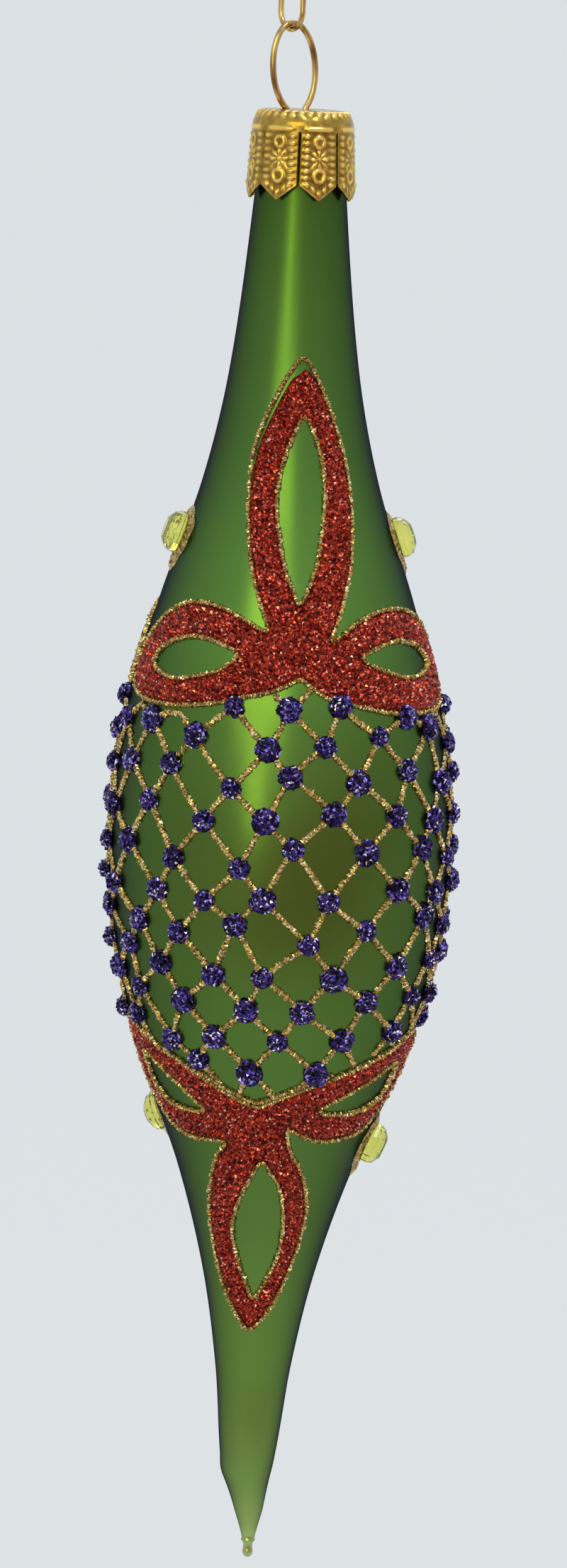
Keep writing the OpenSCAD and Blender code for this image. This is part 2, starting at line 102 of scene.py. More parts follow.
def glassRadius(depth):
    f = glassForm
    depth = np.clip(np.asarray(depth, float), 0, f["length"])
    rest = f["length"] - f["bellyDepth"]
    above = smoothCurve(f["upperSwell"], np.clip(depth / f["bellyDepth"], 0, 1))
    below = smoothCurve(f["lowerSwell"], np.clip((depth - f["bellyDepth"]) / rest, 0, 1))
    return np.where(depth < f["bellyDepth"],
                    f["neck"] + (f["belly"] - f["neck"]) * above,
                    f["tail"] + (f["belly"] - f["tail"]) * below) / 2


def glassTilt(depth):
    depth, near = np.asarray(depth), 0.05
    return (glassRadius(depth + near) - glassRadius(depth - near)) / (2 * near)


def wanderAt(depth):
    return smoothCurve(glassForm["wander"], np.clip(np.asarray(depth, float), 0, depthSpan))


def fromAxis(x, y, z):
    return np.stack([axisX + x * mm, axisY + y * mm, rimZ + z * mm], axis=-1)


def onGlass(turn, depth, lift=0.0):
    turn, depth = np.radians(np.asarray(turn, float)), np.asarray(depth, float)
    g = glassTilt(depth)
    n = np.sqrt(1 + g * g)
    out = glassRadius(depth) + lift / n
    return fromAxis(out * np.sin(turn) + wanderAt(depth), -out * np.cos(turn), lift * g / n - depth)


def standAt(turn, depth, lift):
    # frame on the glass: across to the right, up the glass, and out of it
    g = float(glassTilt(depth))
    n = math.sqrt(1 + g * g)
    a = math.radians(turn)
    out = Vector((math.sin(a) / n, -math.cos(a) / n, g / n))
    across = Vector((math.cos(a), math.sin(a), 0))
    stand = Matrix((across, out.cross(across), out)).transposed().to_4x4()
    stand.translation = Vector(onGlass(turn, depth, lift))
    return stand


def setOnGlass(points, turn, depth, lift):
    stand = np.array(standAt(turn, depth, lift))
    return points @ stand[:3, :3].T + stand[:3, 3]


def turnOf(across, depth):
    return np.degrees(np.asarray(across) / glassRadius(depth))


# Materials
def newMaterial(name):
    material = bpy.data.materials.new(name)
    material.use_nodes = True
    nodes, links = material.node_tree.nodes, material.node_tree.links
    return material, nodes, links, nodes["Principled BSDF"]


def ramp(nodes, links, source, stops, interpolation="LINEAR"):
    node = nodes.new("ShaderNodeValToRGB")
    node.color_ramp.interpolation = interpolation
    elements = node.color_ramp.elements
    while len(elements) < len(stops):
        elements.new(0.5)
    for element, (at, colour) in zip(elements, stops):
        element.position = at
        element.color = (*colour, 1)
    links.new(source, node.inputs["Fac"])
    return node.outputs["Color"]


def spread(nodes, links, source, low, high):
    node = nodes.new("ShaderNodeMapRange")
    node.inputs["To Min"].default_value = low
    node.inputs["To Max"].default_value = high
    links.new(source, node.inputs["Value"])
    return node.outputs["Result"]


def noiseTexture(nodes, links, place, scale, detail):
    node = nodes.new("ShaderNodeTexNoise")
    node.inputs["Scale"].default_value = scale
    node.inputs["Detail"].default_value = detail
    links.new(place, node.inputs["Vector"])
    return node.outputs["Fac"]


def attribute(nodes, name):
    node = nodes.new("ShaderNodeAttribute")
    node.attribute_name = name
    return node.outputs["Fac"]


def roughen(nodes, links, shader, source, low, high):
    links.new(spread(nodes, links, source, low, high), shader.inputs["Roughness"])


def addBump(nodes, links, shader, source, strength, depth):
    node = nodes.new("ShaderNodeBump")
    node.inputs["Strength"].default_value = strength
    node.inputs["Distance"].default_value = depth * mm
    links.new(source, node.inputs["Height"])
    links.new(node.outputs["Normal"], shader.inputs["Normal"])


def mixInto(nodes, links, share, first, second, output):
    node = nodes.new("ShaderNodeMixShader")
    links.new(share, node.inputs["Fac"])
    links.new(first, node.inputs[1])
    links.new(second, node.inputs[2])
    links.new(node.outputs[0], nodes[output].inputs["Surface"])


satinFinish = {
    # silvered green by depth below the rim, mm. The dark green to 6.5 mm and the darker run to about 21 mm
    # are painted shade of the cap on the neck, the brighter green from 50 to 59 mm is a painted highlight,
    # and the pale end is the thin lacquer at the nib
    "lacquerWithPaintedLight": [(0, (0.03, 0.055, 0.015)), (6.5, (0.03, 0.055, 0.015)), (8.5, (0.146, 0.322, 0.042)),
                (13, (0.160, 0.370, 0.053)), (21, (0.186, 0.425, 0.064)), (38, (0.214, 0.480, 0.081)),
                (50, (0.278, 0.622, 0.099)), (59, (0.290, 0.645, 0.102)), (66, (0.240, 0.510, 0.080)),
                (100, (0.238, 0.495, 0.077)), (125, (0.278, 0.545, 0.090)),
                (148, (0.362, 0.690, 0.117)), (158, (0.480, 0.800, 0.165)), (165, (0.640, 0.920, 0.236)),
                (167.5, (0.500, 0.640, 0.260)), (169, (0.460, 0.590, 0.260))],
    "coated": [(0, 1.0), (160, 1.0), (165, 0.85), (167.5, 0.3), (169, 0.2)],  # the bare nib has hardly any
    "coat": (0.46, 0.45, 0.53),  # lacquer over the silver, deeper where it is looked through at a slant
    "metallic": 0.94,
    "coatRoughness": 0.4,
    "coatIor": 1.015,
    "roughness": (0.22, 0.29),
    "grain": (1400.0, 4),  # scale and detail
    "cloud": (55.0, 3),
    "thickness": (0.92, 1.08),  # the coat is slightly thicker in places
    "bump": (0.06, 0.02),
}


def satinMaterial():
    f = satinFinish
    material, nodes, links, shader = newMaterial("satin green lacquer on silvered glass")
    place = nodes.new("ShaderNodeTexCoord").outputs["Object"]
    split = nodes.new("ShaderNodeSeparateXYZ")
    links.new(place, split.inputs[0])
    scale = nodes.new("ShaderNodeMapRange")
    scale.inputs["From Min"].default_value = rimZ
    scale.inputs["From Max"].default_value = rimZ - depthSpan * mm
    links.new(split.outputs["Z"], scale.inputs["Value"])
    depth = scale.outputs["Result"]
    # the colour by depth carries painted shade below the cap and a painted highlight at 50 to 59 mm
    lacquerWithPaintedLight = ramp(nodes, links, depth, [(d / depthSpan, c) for d, c in f["lacquerWithPaintedLight"]])
    cloud = noiseTexture(nodes, links, place, *f["cloud"])
    uneven = nodes.new("ShaderNodeHueSaturation")
    links.new(spread(nodes, links, cloud, *f["thickness"]), uneven.inputs["Value"])
    links.new(lacquerWithPaintedLight, uneven.inputs["Color"])
    links.new(uneven.outputs["Color"], shader.inputs["Base Color"])
    grain = noiseTexture(nodes, links, place, *f["grain"])
    roughen(nodes, links, shader, grain, *f["roughness"])
    addBump(nodes, links, shader, grain, *f["bump"])
    coated = ramp(nodes, links, depth, [(d / depthSpan, (w, w, w)) for d, w in f["coated"]])
    links.new(coated, shader.inputs["Coat Weight"])
    shader.inputs["Metallic"].default_value = f["metallic"]
    shader.inputs["Coat Roughness"].default_value = f["coatRoughness"]
    shader.inputs["Coat IOR"].default_value = f["coatIor"]
    shader.inputs["Coat Tint"].default_value = (*f["coat"], 1)
    return material


glitterFinish = {
    # each flake takes one of these colours at random; besides the glitter's own mixed tones, the darkest
    # stops are painted shade and the pale top stops painted sparkle
    "red glitter": {
        "flakes": [(0, (0.07, 0.006, 0.004)), (0.28, (0.20, 0.017, 0.010)), (0.52, (0.35, 0.030, 0.017)),
                   (0.76, (0.55, 0.055, 0.030)), (0.92, (0.84, 0.14, 0.08)), (0.972, (1.0, 0.50, 0.38))],
        "metallic": 0.82, "roughness": (0.2, 0.42)},
    "gold glitter": {
        "flakes": [(0, (0.15, 0.10, 0.03)), (0.14, (0.31, 0.215, 0.066)), (0.38, (0.50, 0.36, 0.115)),
                   (0.64, (0.72, 0.54, 0.20)), (0.84, (0.95, 0.78, 0.36)), (0.93, (1.0, 0.95, 0.70))],
        "metallic": 0.85, "roughness": (0.1, 0.36)},
    "violet glitter": {
        "flakes": [(0, (0.003, 0.0015, 0.013)), (0.36, (0.014, 0.007, 0.076)), (0.58, (0.045, 0.024, 0.22)),
                   (0.78, (0.13, 0.09, 0.48)), (0.905, (0.42, 0.36, 0.90)), (0.968, (0.90, 0.87, 1.0))],
        "metallic": 0.78, "roughness": (0.14, 0.36)},
}


def glitterMaterial(name):
    f = glitterFinish[name]
    material, nodes, links, shader = newMaterial(name)
    flake = attribute(nodes, "flake")
    links.new(ramp(nodes, links, flake, f["flakes"], "CONSTANT"), shader.inputs["Base Color"])
    roughen(nodes, links, shader, flake, *reversed(f["roughness"]))
    shader.inputs["Metallic"].default_value = f["metallic"]
    return material


gildFinish = {
    "stamped gilt": {"dark": (0.16, 0.078, 0.008), "light": (0.96, 0.66, 0.15), "stops": (0.14, 0.85),
                     "roughness": (0.12, 0.28), "grain": (900.0, 5), "stretch": (1, 1, 1),
                     "bump": (0.12, 0.05)},
    "gilt wire": {"dark": (0.26, 0.165, 0.055), "light": (0.80, 0.57, 0.23), "stops": (0.16, 0.34),
                  "roughness": (0.07, 0.26), "grain": (1100.0, 5), "stretch": (1, 1, 0.25),
                  "bump": (0.06, 0.05)},
}


def gildMaterial(name):
    f = gildFinish[name]
    material, nodes, links, shader = newMaterial(name)
    stretch = nodes.new("ShaderNodeMapping")
    stretch.inputs["Scale"].default_value = f["stretch"]
    links.new(nodes.new("ShaderNodeTexCoord").outputs["Object"], stretch.inputs["Vector"])
    grain = noiseTexture(nodes, links, stretch.outputs["Vector"], *f["grain"])
    # painted shade in the hollows and painted highlight on the high places of the stamping, taken from the
    # relief on each point, over a random grain
    paintedShadeAndGrain = nodes.new("ShaderNodeMath")
    paintedShadeAndGrain.operation = "MULTIPLY_ADD"
    paintedShadeAndGrain.inputs[1].default_value = 0.5  # share of the grain
    links.new(grain, paintedShadeAndGrain.inputs[0])
    links.new(attribute(nodes, "relief"), paintedShadeAndGrain.inputs[2])
    stops = list(zip(f["stops"], (f["dark"], f["light"])))
    links.new(ramp(nodes, links, paintedShadeAndGrain.outputs[0], stops), shader.inputs["Base Color"])
    roughen(nodes, links, shader, grain, *f["roughness"])
    addBump(nodes, links, shader, grain, *f["bump"])
    shader.inputs["Metallic"].default_value = 1.0
    return material


stoneFinish = {
    "colours": [(0.35, (0.76, 0.79, 0.13)), (0.65, (0.90, 0.92, 0.22))],
    "cloud": (260, 2),
    "roughness": (0.01, 0.05),
    "transmission": 0.9,
    "ior": 1.52,
}


def stoneMaterial():
    f = stoneFinish
    material, nodes, links, shader = newMaterial("chartreuse cut stone")
    cloud = noiseTexture(nodes, links, nodes.new("ShaderNodeTexCoord").outputs["Object"], *f["cloud"])
    links.new(ramp(nodes, links, cloud, f["colours"]), shader.inputs["Base Color"])
    roughen(nodes, links, shader, cloud, *f["roughness"])
    shader.inputs["Transmission Weight"].default_value = f["transmission"]
    shader.inputs["IOR"].default_value = f["ior"]
    return material


satin = satinMaterial()
glitter = {name: glitterMaterial(name) for name in glitterFinish}
gild = {name: gildMaterial(name) for name in gildFinish}
stoneGlass = stoneMaterial()
print("materials ready")


# Pieces
def addPiece(name, points, faces, material, body, slot, nodes, flat=True, flakes=None, paintedShadeTop=1.0):
    mesh = bpy.data.meshes.new(name)
    mesh.from_pydata([tuple(p) for p in points], [], [tuple(f) for f in faces], shade_flat=flat)
    work = bmesh.new()
    work.from_mesh(mesh)
    bmesh.ops.recalc_face_normals(work, faces=work.faces)
    work.to_mesh(mesh)
    work.free()
    if flakes is not None:  # a number for each face, so that each flake has its own colour
        values = mesh.attributes.new("flake", "FLOAT", "FACE")
        drawn = paintedShadeTop * flakes.random_sample(len(mesh.polygons))
        values.data.foreach_set("value", drawn.astype(np.float32))
    mesh.materials.append(material)
    piece = bpy.data.objects.new(name, mesh)
    scene.collection.objects.link(piece)
    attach(piece, body)
    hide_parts(*nodes)
    return piece


class Heap:  # collects solids that make up one piece
    def __init__(self):
        self.points, self.faces, self.count = [], [], 0

    def add(self, points, faces):
        self.points.append(np.asarray(points, float))
        self.faces += [[i + self.count for i in f] for f in faces]
        self.count += len(points)

    def all(self):
        return np.concatenate(self.points), self.faces


def gridFaces(rings, around, closedRings=False, closedAround=True):
    faces = []
    for i in range(rings if closedRings else rings - 1):
        for j in range(around if closedAround else around - 1):
            k, n = (j + 1) % around, (i + 1) % rings
            faces.append((i * around + j, i * around + k, n * around + k, n * around + j))
    return faces


def endFaces(rings, around):
    return [tuple(range(around - 1, -1, -1)), tuple(range((rings - 1) * around, rings * around))]


def takeMesh(work):
    work.verts.index_update()
    points = np.array([v.co for v in work.verts])
    faces = [[v.index for v in face.verts] for face in work.faces]
    work.free()
    return points, faces


# Glass body: the silvered inside, lip, outside and nib
def buildGlass():
    f = glassForm
    inside = [(float(glassRadius(d)) - f["wall"], -d)
              for d in np.linspace(f["cavityEnd"], f["lipDepth"], f["insideRings"])]
    middle = f["neck"] / 2 - f["wall"] / 2
    lip = [(middle + across, z) for across, z in f["lip"]]
    outside = [(float(glassRadius(d)), -d) for d in np.linspace(f["lipDepth"], f["nibStart"], f["rings"])]
    nib = [(float(smoothCurve(f["nib"], np.array(t))), -f["nibStart"] - f["nibLength"] * t)
           for t in np.linspace(0, 1, f["nibRings"])[1:-1]]
    rows = inside + lip + outside + nib
    count, bulge = f["segments"], f["bulge"]
    turns = np.linspace(0, 2 * math.pi, count, endpoint=False)
    sideways = np.maximum(0, np.cos(turns + bulge["turn"])) ** 3
    points = []
    for r, z in rows:
        out = r + bulge["height"] * math.exp(-((z + bulge["depth"]) / bulge["reach"]) ** 2) * sideways
        x, y = out * np.sin(turns) + float(wanderAt(-z)), -out * np.cos(turns)
        points += list(fromAxis(x, y, np.full(count, z)))
    faces = gridFaces(len(rows), count)
    last, tip, deep = (len(rows) - 1) * count, len(points), len(points) + 1
    points.append(fromAxis(float(wanderAt(depthSpan)), 0.0, -f["nibStart"] - f["nibLength"]))
    points.append(fromAxis(float(wanderAt(f["cavityEnd"])), 0.0, -f["cavityEnd"] - f["wall"]))
    faces += [(last + j, last + (j + 1) % count, tip) for j in range(count)]
    faces += [((j + 1) % count, j, deep) for j in range(count)]
    addPiece("satin_glass", points, faces, satin, "glass", "green_glass", ["glass_shell"], flat=False)


buildGlass()
print("glass done")


# Flat outlines are [distance round the glass, depth], run through by a smooth curve
def closedCurve(points, step):
    p = np.array(points, float)
    n = len(p)
    fine = []
    for i in range(n):
        a, b, c, d = p[i - 1], p[i], p[(i + 1) % n], p[(i + 2) % n]
        t = np.linspace(0, 1, 24, endpoint=False)[:, None]
        fine.append(0.5 * (2 * b + (c - a) * t + (2 * a - 5 * b + 4 * c - d) * t**2
                           + (3 * b - a - 3 * c + d) * t**3))
    return evenly(np.concatenate(fine), step, True)


def evenly(points, step, closed):
    run = np.vstack([points, points[:1]]) if closed else points
    length = np.concatenate([[0], np.cumsum(np.linalg.norm(np.diff(run, axis=0), axis=1))])
    count = max(3, int(round(length[-1] / step)))
    at = np.linspace(0, length[-1], count + (0 if closed else 1), endpoint=not closed)
    return np.stack([np.interp(at, length, run[:, k]) for k in range(run.shape[1])], axis=1)


def inLoop(points, loop):
    x, y = points[:, 0][:, None], points[:, 1][:, None]
    a, b = loop, np.roll(loop, -1, axis=0)
    crosses = (a[:, 1] > y) != (b[:, 1] > y)
    with np.errstate(divide="ignore", invalid="ignore"):
        at = a[:, 0] + (y - a[:, 1]) * (b[:, 0] - a[:, 0]) / (b[:, 1] - a[:, 1])
    return (np.sum(crosses & (x < at), axis=1) % 2) == 1


def inset(loop, distance):
    # moves a closed loop to its left by a distance
    along = np.roll(loop, -1, axis=0) - np.roll(loop, 1, axis=0)
    along /= np.maximum(np.linalg.norm(along, axis=1), 1e-9)[:, None]
    return loop + distance * np.stack([-along[:, 1], along[:, 0]], axis=1)


def area(loop):
    b = np.roll(loop, -1, axis=0)
    return 0.5 * np.sum(loop[:, 0] * b[:, 1] - b[:, 0] * loop[:, 1])


def between(points, loops):
    keep = inLoop(points, loops[0])
    for hole in loops[1:]:
        keep &= ~inLoop(points, hole)
    return keep


def fillLoops(loops, inner):
    points = np.concatenate(loops + ([inner] if len(inner) else []))
    edges, start = [], 0
    for loop in loops:
        edges += [(start + i, start + (i + 1) % len(loop)) for i in range(len(loop))]
        start += len(loop)
    made = delaunay_2d_cdt([Vector(p) for p in points], edges, [], 1, 1e-7)
    source = [ids[0] for ids in made[3]]
    faces = np.array([[source[i] for i in face] for face in made[2]])
    return points, faces[between(points[faces].mean(axis=1), loops)]


# A crust of glitter between loops: a field of tilted flakes on a closed back
crustForm = {
    "rowShare": 0.87,  # rows lie closer than the flakes in a row
    "scatter": 0.75,
    "edgeRoom": 0.5,
    "thinning": (2.2, 0.35),  # the coat thins over this many flakes, to this share
    "rise": (0.5, 0.6),  # least height of a flake, and what chance adds to it
    "low": 0.02,
}


def glitterCrust(random, loops, turn, spacing, height):
    f = crustForm
    lo, hi = loops[0].min(axis=0), loops[0].max(axis=0)
    field = []
    for k, y in enumerate(np.arange(lo[1], hi[1], spacing * f["rowShare"])):
        x = np.arange(lo[0] + (k % 2) * spacing / 2, hi[0], spacing)
        field.append(np.stack([x, np.full(len(x), y)], axis=1))
    field = np.concatenate(field)
    field += (random.random_sample(field.shape) - 0.5) * spacing * f["scatter"]
    field = field[between(field, loops)]
    border = np.concatenate(loops)
    tree = KDTree(len(border))
    for i, p in enumerate(border):
        tree.insert((p[0], p[1], 0), i)
    tree.balance()
    near = np.array([tree.find((p[0], p[1], 0))[2] for p in field])
    clear = near > spacing * f["edgeRoom"]
    field, near = field[clear], near[clear]
    points, top = fillLoops(loops, field)
    _, back = fillLoops(loops, np.zeros((0, 2)))
    reach, least = f["thinning"]
    base, chance = f["rise"]
    lift = np.full(len(points), f["low"])
    lift[len(border):] = (height * np.clip(near / (reach * spacing), least, 1)
                          * (base + chance * random.random_sample(len(field))))
    placed = onGlass(turn + turnOf(points[:, 0], points[:, 1]), points[:, 1], lift)
    return placed, [tuple(face) for face in top] + [tuple(face[::-1]) for face in back]


# A rough bead of glitter along a path of [turn, depth]
beadForm = {
    "section": [(-0.5, 0.0), (-0.36, 0.7), (0.0, 1.0), (0.36, 0.7), (0.5, 0.0), (0.0, -0.12)],
    "swell": (0.72, 1.18),
    "swellEvery": 3,
    "scatter": {"across": 0.13, "up": 0.24, "along": 0.45},
    "deepest": -0.08,
}


def glitterBead(random, path, width, height, step, closed):
    f = beadForm
    metric = np.stack([np.radians(path[:, 0]) * glassRadius(path[:, 1]), path[:, 1]], axis=1)
    fine = evenly(np.hstack([metric, path]), step, closed)[:, 2:]
    r, g = glassRadius(fine[:, 1]), np.sqrt(1 + glassTilt(fine[:, 1]) ** 2)
    if closed:
        along = np.roll(fine, -1, axis=0) - np.roll(fine, 1, axis=0)
    else:
        along = np.gradient(fine, axis=0)
    along = np.stack([np.radians(along[:, 0]) * r, along[:, 1] * g], axis=1)
    along /= np.maximum(np.linalg.norm(along, axis=1), 1e-9)[:, None]
    side = np.stack([-along[:, 1], along[:, 0]], axis=1)
    n = len(fine)
    knots = np.arange(0, n + 2 * f["swellEvery"], f["swellEvery"])
    swell = np.interp(np.arange(n), knots, random.uniform(*f["swell"], len(knots)))
    rings = []
    for across, up in f["section"]:
        rough = 0.0 if up < 0 else 1.0
        shift = {way: rough * random.uniform(-most, most, n) for way, most in f["scatter"].items()}
        off = (across * swell + shift["across"]) * width
        lift = (up * swell + shift["up"]) * height
        move = side * off[:, None] + along * (shift["along"] * step)[:, None]
        rings.append(onGlass(fine[:, 0] + np.degrees(move[:, 0] / r), fine[:, 1] + move[:, 1] / g,
                             np.maximum(lift, f["deepest"])))
    points = np.stack(rings, axis=1).reshape(-1, 3)
    around = len(f["section"])
    faces = []
    for k, (a, b, c, d) in enumerate(gridFaces(n, around, closedRings=closed)):  # each flake is a triangle
        faces += [(a, b, c), (a, c, d)] if k % 2 else [(a, b, d), (b, c, d)]
    if not closed:
        faces += endFaces(n, around)
    return points, faces


bowForm = {
    "upper": {
        "turn": 6.0,
        "outline": [(0, 62.7), (1.6, 63.7), (3.6, 64.9), (7, 65.6), (11.4, 66.5), (17, 66.8),
                    (22.6, 66.4), (25, 64.2), (23.8, 60.4), (21, 57.7), (16, 55.8), (12.8, 55.2),
                    (9.6, 55.4), (6.7, 56.5), (5, 57.7), (3.6, 58.4), (4.5, 55.9), (5.4, 53), (6.1, 50.2),
                    (6.4, 45), (6.1, 41.5), (5, 37), (3.3, 32.5), (1.6, 28.8), (0.3, 27.2), (-0.9, 28.3),
                    (-2.3, 30.7), (-4.3, 34.8), (-5.4, 38), (-5.9, 43.2), (-5.9, 46), (-5.6, 50),
                    (-4.6, 54.2), (-3.7, 57.4), (-6.2, 56.5), (-9, 55.3), (-12.8, 55), (-16.3, 56),
                    (-19.7, 57.9), (-22.9, 60.5), (-24.7, 63.1), (-24.4, 65.3), (-22, 66.3), (-18, 66.6),
                    (-13.4, 66.3), (-9, 65.6), (-6.1, 64.8), (-3.6, 64.2), (-1.6, 63.4)],
        "holes": [
            [(0, 54.4), (1.1, 52.3), (1.8, 50.4), (2.2, 48.4), (2.75, 45), (2.8, 40.6), (1.9, 36.4),
             (0.5, 33.9), (-0.7, 35.8), (-2.1, 39.8), (-2.6, 44), (-2.1, 48.2), (-1.7, 50.4),
             (-0.8, 53)],
            [(-7.2, 60.3), (-9.7, 59.1), (-13.1, 58.8), (-17.3, 60), (-19.9, 61.9), (-18.6, 63.1),
             (-15.6, 63.6), (-12.3, 63), (-9.4, 62.1)],
            [(7.5, 60.4), (9.9, 59.2), (13.2, 58.7), (17.5, 59.7), (20.2, 61.6), (17.8, 62.6),
             (14.6, 62.8), (10.7, 61.9)]],
        # the red stops short of the gold at the tip and on the upper left
        "bareTip": {"depth": 27.3, "reach": 1.6, "room": 1.1},
        "bareLeft": {"end": 44, "fade": 9, "middle": 2.5, "soften": 3, "within": 1.2, "room": 0.45},
    },
    "lower": {
        "turn": -4.0,
        "outline": [(-0.4, 112.1), (1.6, 111.3), (4.7, 110), (7.6, 108.9), (11.9, 107.5), (17.2, 105.8),
                    (22, 104.2), (23.2, 105.2), (22, 107.6), (20, 110.4), (17.2, 113.2), (14.1, 115.4),
                    (11, 116.3), (7.6, 116.5), (5.2, 115.9), (3.3, 115), (3.6, 117.6), (4.8, 120),
                    (5.6, 122.7), (5.85, 125.5), (5.3, 128.8), (4.2, 132.3), (2.9, 135.6), (1.2, 138.7),
                    (-0.4, 140.2), (-1.8, 138.6), (-3.2, 136.1), (-4.6, 132.6), (-5.5, 128.9),
                    (-6, 125.4), (-5.7, 121.7), (-5, 118.8), (-4, 116.9), (-7, 116.9), (-9.8, 116.6),
                    (-12.6, 115.3), (-15.4, 113), (-18.2, 110), (-20.4, 106.8), (-21.6, 104.4),
                    (-20.4, 103.8), (-15.6, 105.7), (-10.4, 107.4), (-6.9, 109.1), (-3.6, 110.8)],
        "holes": [
            [(0.3, 119.2), (1.3, 120.3), (2.5, 122.5), (2.95, 125.3), (3.05, 127.6), (2.6, 130.8),
             (1.5, 133.6), (0, 136.2), (-0.9, 134.6), (-2.2, 131), (-2.8, 127.9), (-2.3, 124.8),
             (-1.1, 121.8)],
            [(6.9, 112.5), (9.4, 111.2), (13.8, 109.4), (18.6, 107.6), (18.1, 109.8), (16.2, 111.9),
             (12.4, 113.1), (8.7, 113.2)],
            [(-6.7, 113.1), (-7.8, 112.2), (-11.3, 109.9), (-16.6, 107.4), (-16.6, 108.9), (-15, 111.2),
             (-12.1, 113), (-8.4, 113.5)]],
        # the gold was gone over a second time along the middle of the upper edge
        "twice": [(-7.5, 108.4), (-3.6, 110.35), (-1.6, 111.3), (-0.4, 111.65), (0.8, 111.2), (5, 109.4),
                  (8.4, 108.1)],
    },
    "flake": 0.23,
    "height": 0.55,
    "goldRoom": 0.12,
    "gold": (0.57, 0.5, 0.22),  # width, height and step of the bead
    "seed": 20,
}


def buildBow(where, facing, name, seed):
    form = bowForm[where]
    turn = form["turn"] + facing
    random = np.random.RandomState(seed)
    loops = [closedCurve(points, bowForm["flake"]) for points in [form["outline"], *form["holes"]]]
    red = [inset(loop, bowForm["goldRoom"] * (1 if (area(loop) > 0) == (k == 0) else -1))
           for k, loop in enumerate(loops)]
    if "bareTip" in form:
        tip, left = form["bareTip"], form["bareLeft"]
        x, y = red[0].T
        clear = np.clip((left["end"] - y) / left["fade"], 0, 1)
        clear = clear * np.clip((left["middle"] - x) / left["soften"], 0, 1)
        red[0] = np.stack([x + left["room"] * clear * (x < left["within"]),
                           y + tip["room"] * hill(y - tip["depth"], tip["reach"])], axis=1)
    points, faces = glitterCrust(random, red, turn, bowForm["flake"], bowForm["height"])
    addPiece(f"{where}_{name}_bow", points, faces, glitter["red glitter"], "glass", "red_glitter",
             [f"{where}_{name}_ribbon"], flakes=random)
    runs = [(loop, True) for loop in loops]
    if "twice" in form:
        runs.append((np.array(form["twice"]), False))
    gold = Heap()
    for run, closed in runs:
        path = np.stack([turn + turnOf(run[:, 0], run[:, 1]), run[:, 1]], axis=1)
        gold.add(*glitterBead(random, path, *bowForm["gold"], closed))
    addPiece(f"{where}_{name}_bow_outline", *gold.all(), glitter["gold glitter"], "glass", "gold_glitter",
             [f"{where}_{name}_ribbon_edging"], flakes=random)


for count, (where, name, facing) in enumerate([("upper", "front", 0), ("upper", "back", 180),
                                               ("lower", "front", 0), ("lower", "back", 180)]):
    buildBow(where, facing, name, bowForm["seed"] + count)
print("bows done")


netForm = {
    "columns": 16,
    "rows": 11,
    "start": 66.86,
    "pitch": 4.1,
    "turn": -6.75,
    "twist": 1.25,
    "uneven": (1.8, 0.5),  # degrees round, and mm down
    "line": (0.75, 0.36, 0.24),  # width, height and step of the bead
    "lineBend": 0.25,
    "lineRoom": 0.15,
    "linePoints": 25,
    "leastPoints": 4,
    "dotWidth": 3.05,
    "dotRoom": 0.1,
    "dotOverlap": 1.7,  # how far a dot may lie over a bow's edge
    "seed": 41,
    "laidWithin": 72,  # nearer the front than this, only the crossings below have dots
    # crossings of the front as they were laid by hand, [turn, depth], row by row
    "laid": [
        [(-18, 66), (2, 66), (21, 65.5), (50, 67)],
        [(-73, 69), (-54, 68.5), (-32, 69.5), (-5, 70.5), (15, 70), (36, 69), (63, 68.5)],
        [(-63, 73.5), (-41, 73), (-17, 75), (3, 73.5), (27, 74), (48, 73), (69, 75)],
        [(-74, 79.2), (-49.5, 77.5), (-26, 79), (-5, 78.5), (18, 77.5), (42, 78), (62, 79)],
        [(-60, 82.6), (-37, 83.5), (-13, 84), (4.5, 81.5), (30, 82), (55, 82), (74, 83.8)],
        [(-71, 88), (-44, 87.5), (-25, 88), (-5, 87.5), (17, 87.5), (43.5, 86.5), (65, 87.5)],
        [(-54, 91.5), (-35, 92), (-14, 90.5), (11, 92.5), (31.5, 91), (59, 90)],
        [(-61, 94.5), (-44, 96), (-22, 96.5), (-4.5, 96.5), (21, 96.5), (47, 95.5), (69, 95.5)],
        [(-75, 98), (-58, 99.5), (-35, 100), (-10, 100.5), (10.5, 100.5), (35.5, 99.5), (60, 99.5),
         (80, 100)],
        [(-64, 103), (-43, 105), (-23, 104), (2, 104), (28, 104), (53, 103.5)],
        [(-31, 107), (-9, 108), (19, 108)]],
    # edges of the bows that the net runs up to, [distance round, depth]
    "topEdge": [(0, 62.7), (4.5, 64.8), (9.5, 65.9), (16, 66.5), (22.6, 66.2)],
    "bottomEdge": [(0, 112), (4.8, 110.2), (10.3, 107.7), (16.2, 105.6), (21.8, 104)],
}


def edgeAt(edge, turn):
    folded = abs((turn + 90) % 180 - 90)
    points = np.array(edge, float)
    return float(np.interp(folded, turnOf(points[:, 0], points[:, 1]), points[:, 1]))


def netTop(turn):
    return edgeAt(netForm["topEdge"], turn - bowForm["upper"]["turn"])


def netBottom(turn):
    return edgeAt(netForm["bottomEdge"], turn - bowForm["lower"]["turn"])


def wrapped(turn):
    return (turn + 180) % 360 - 180


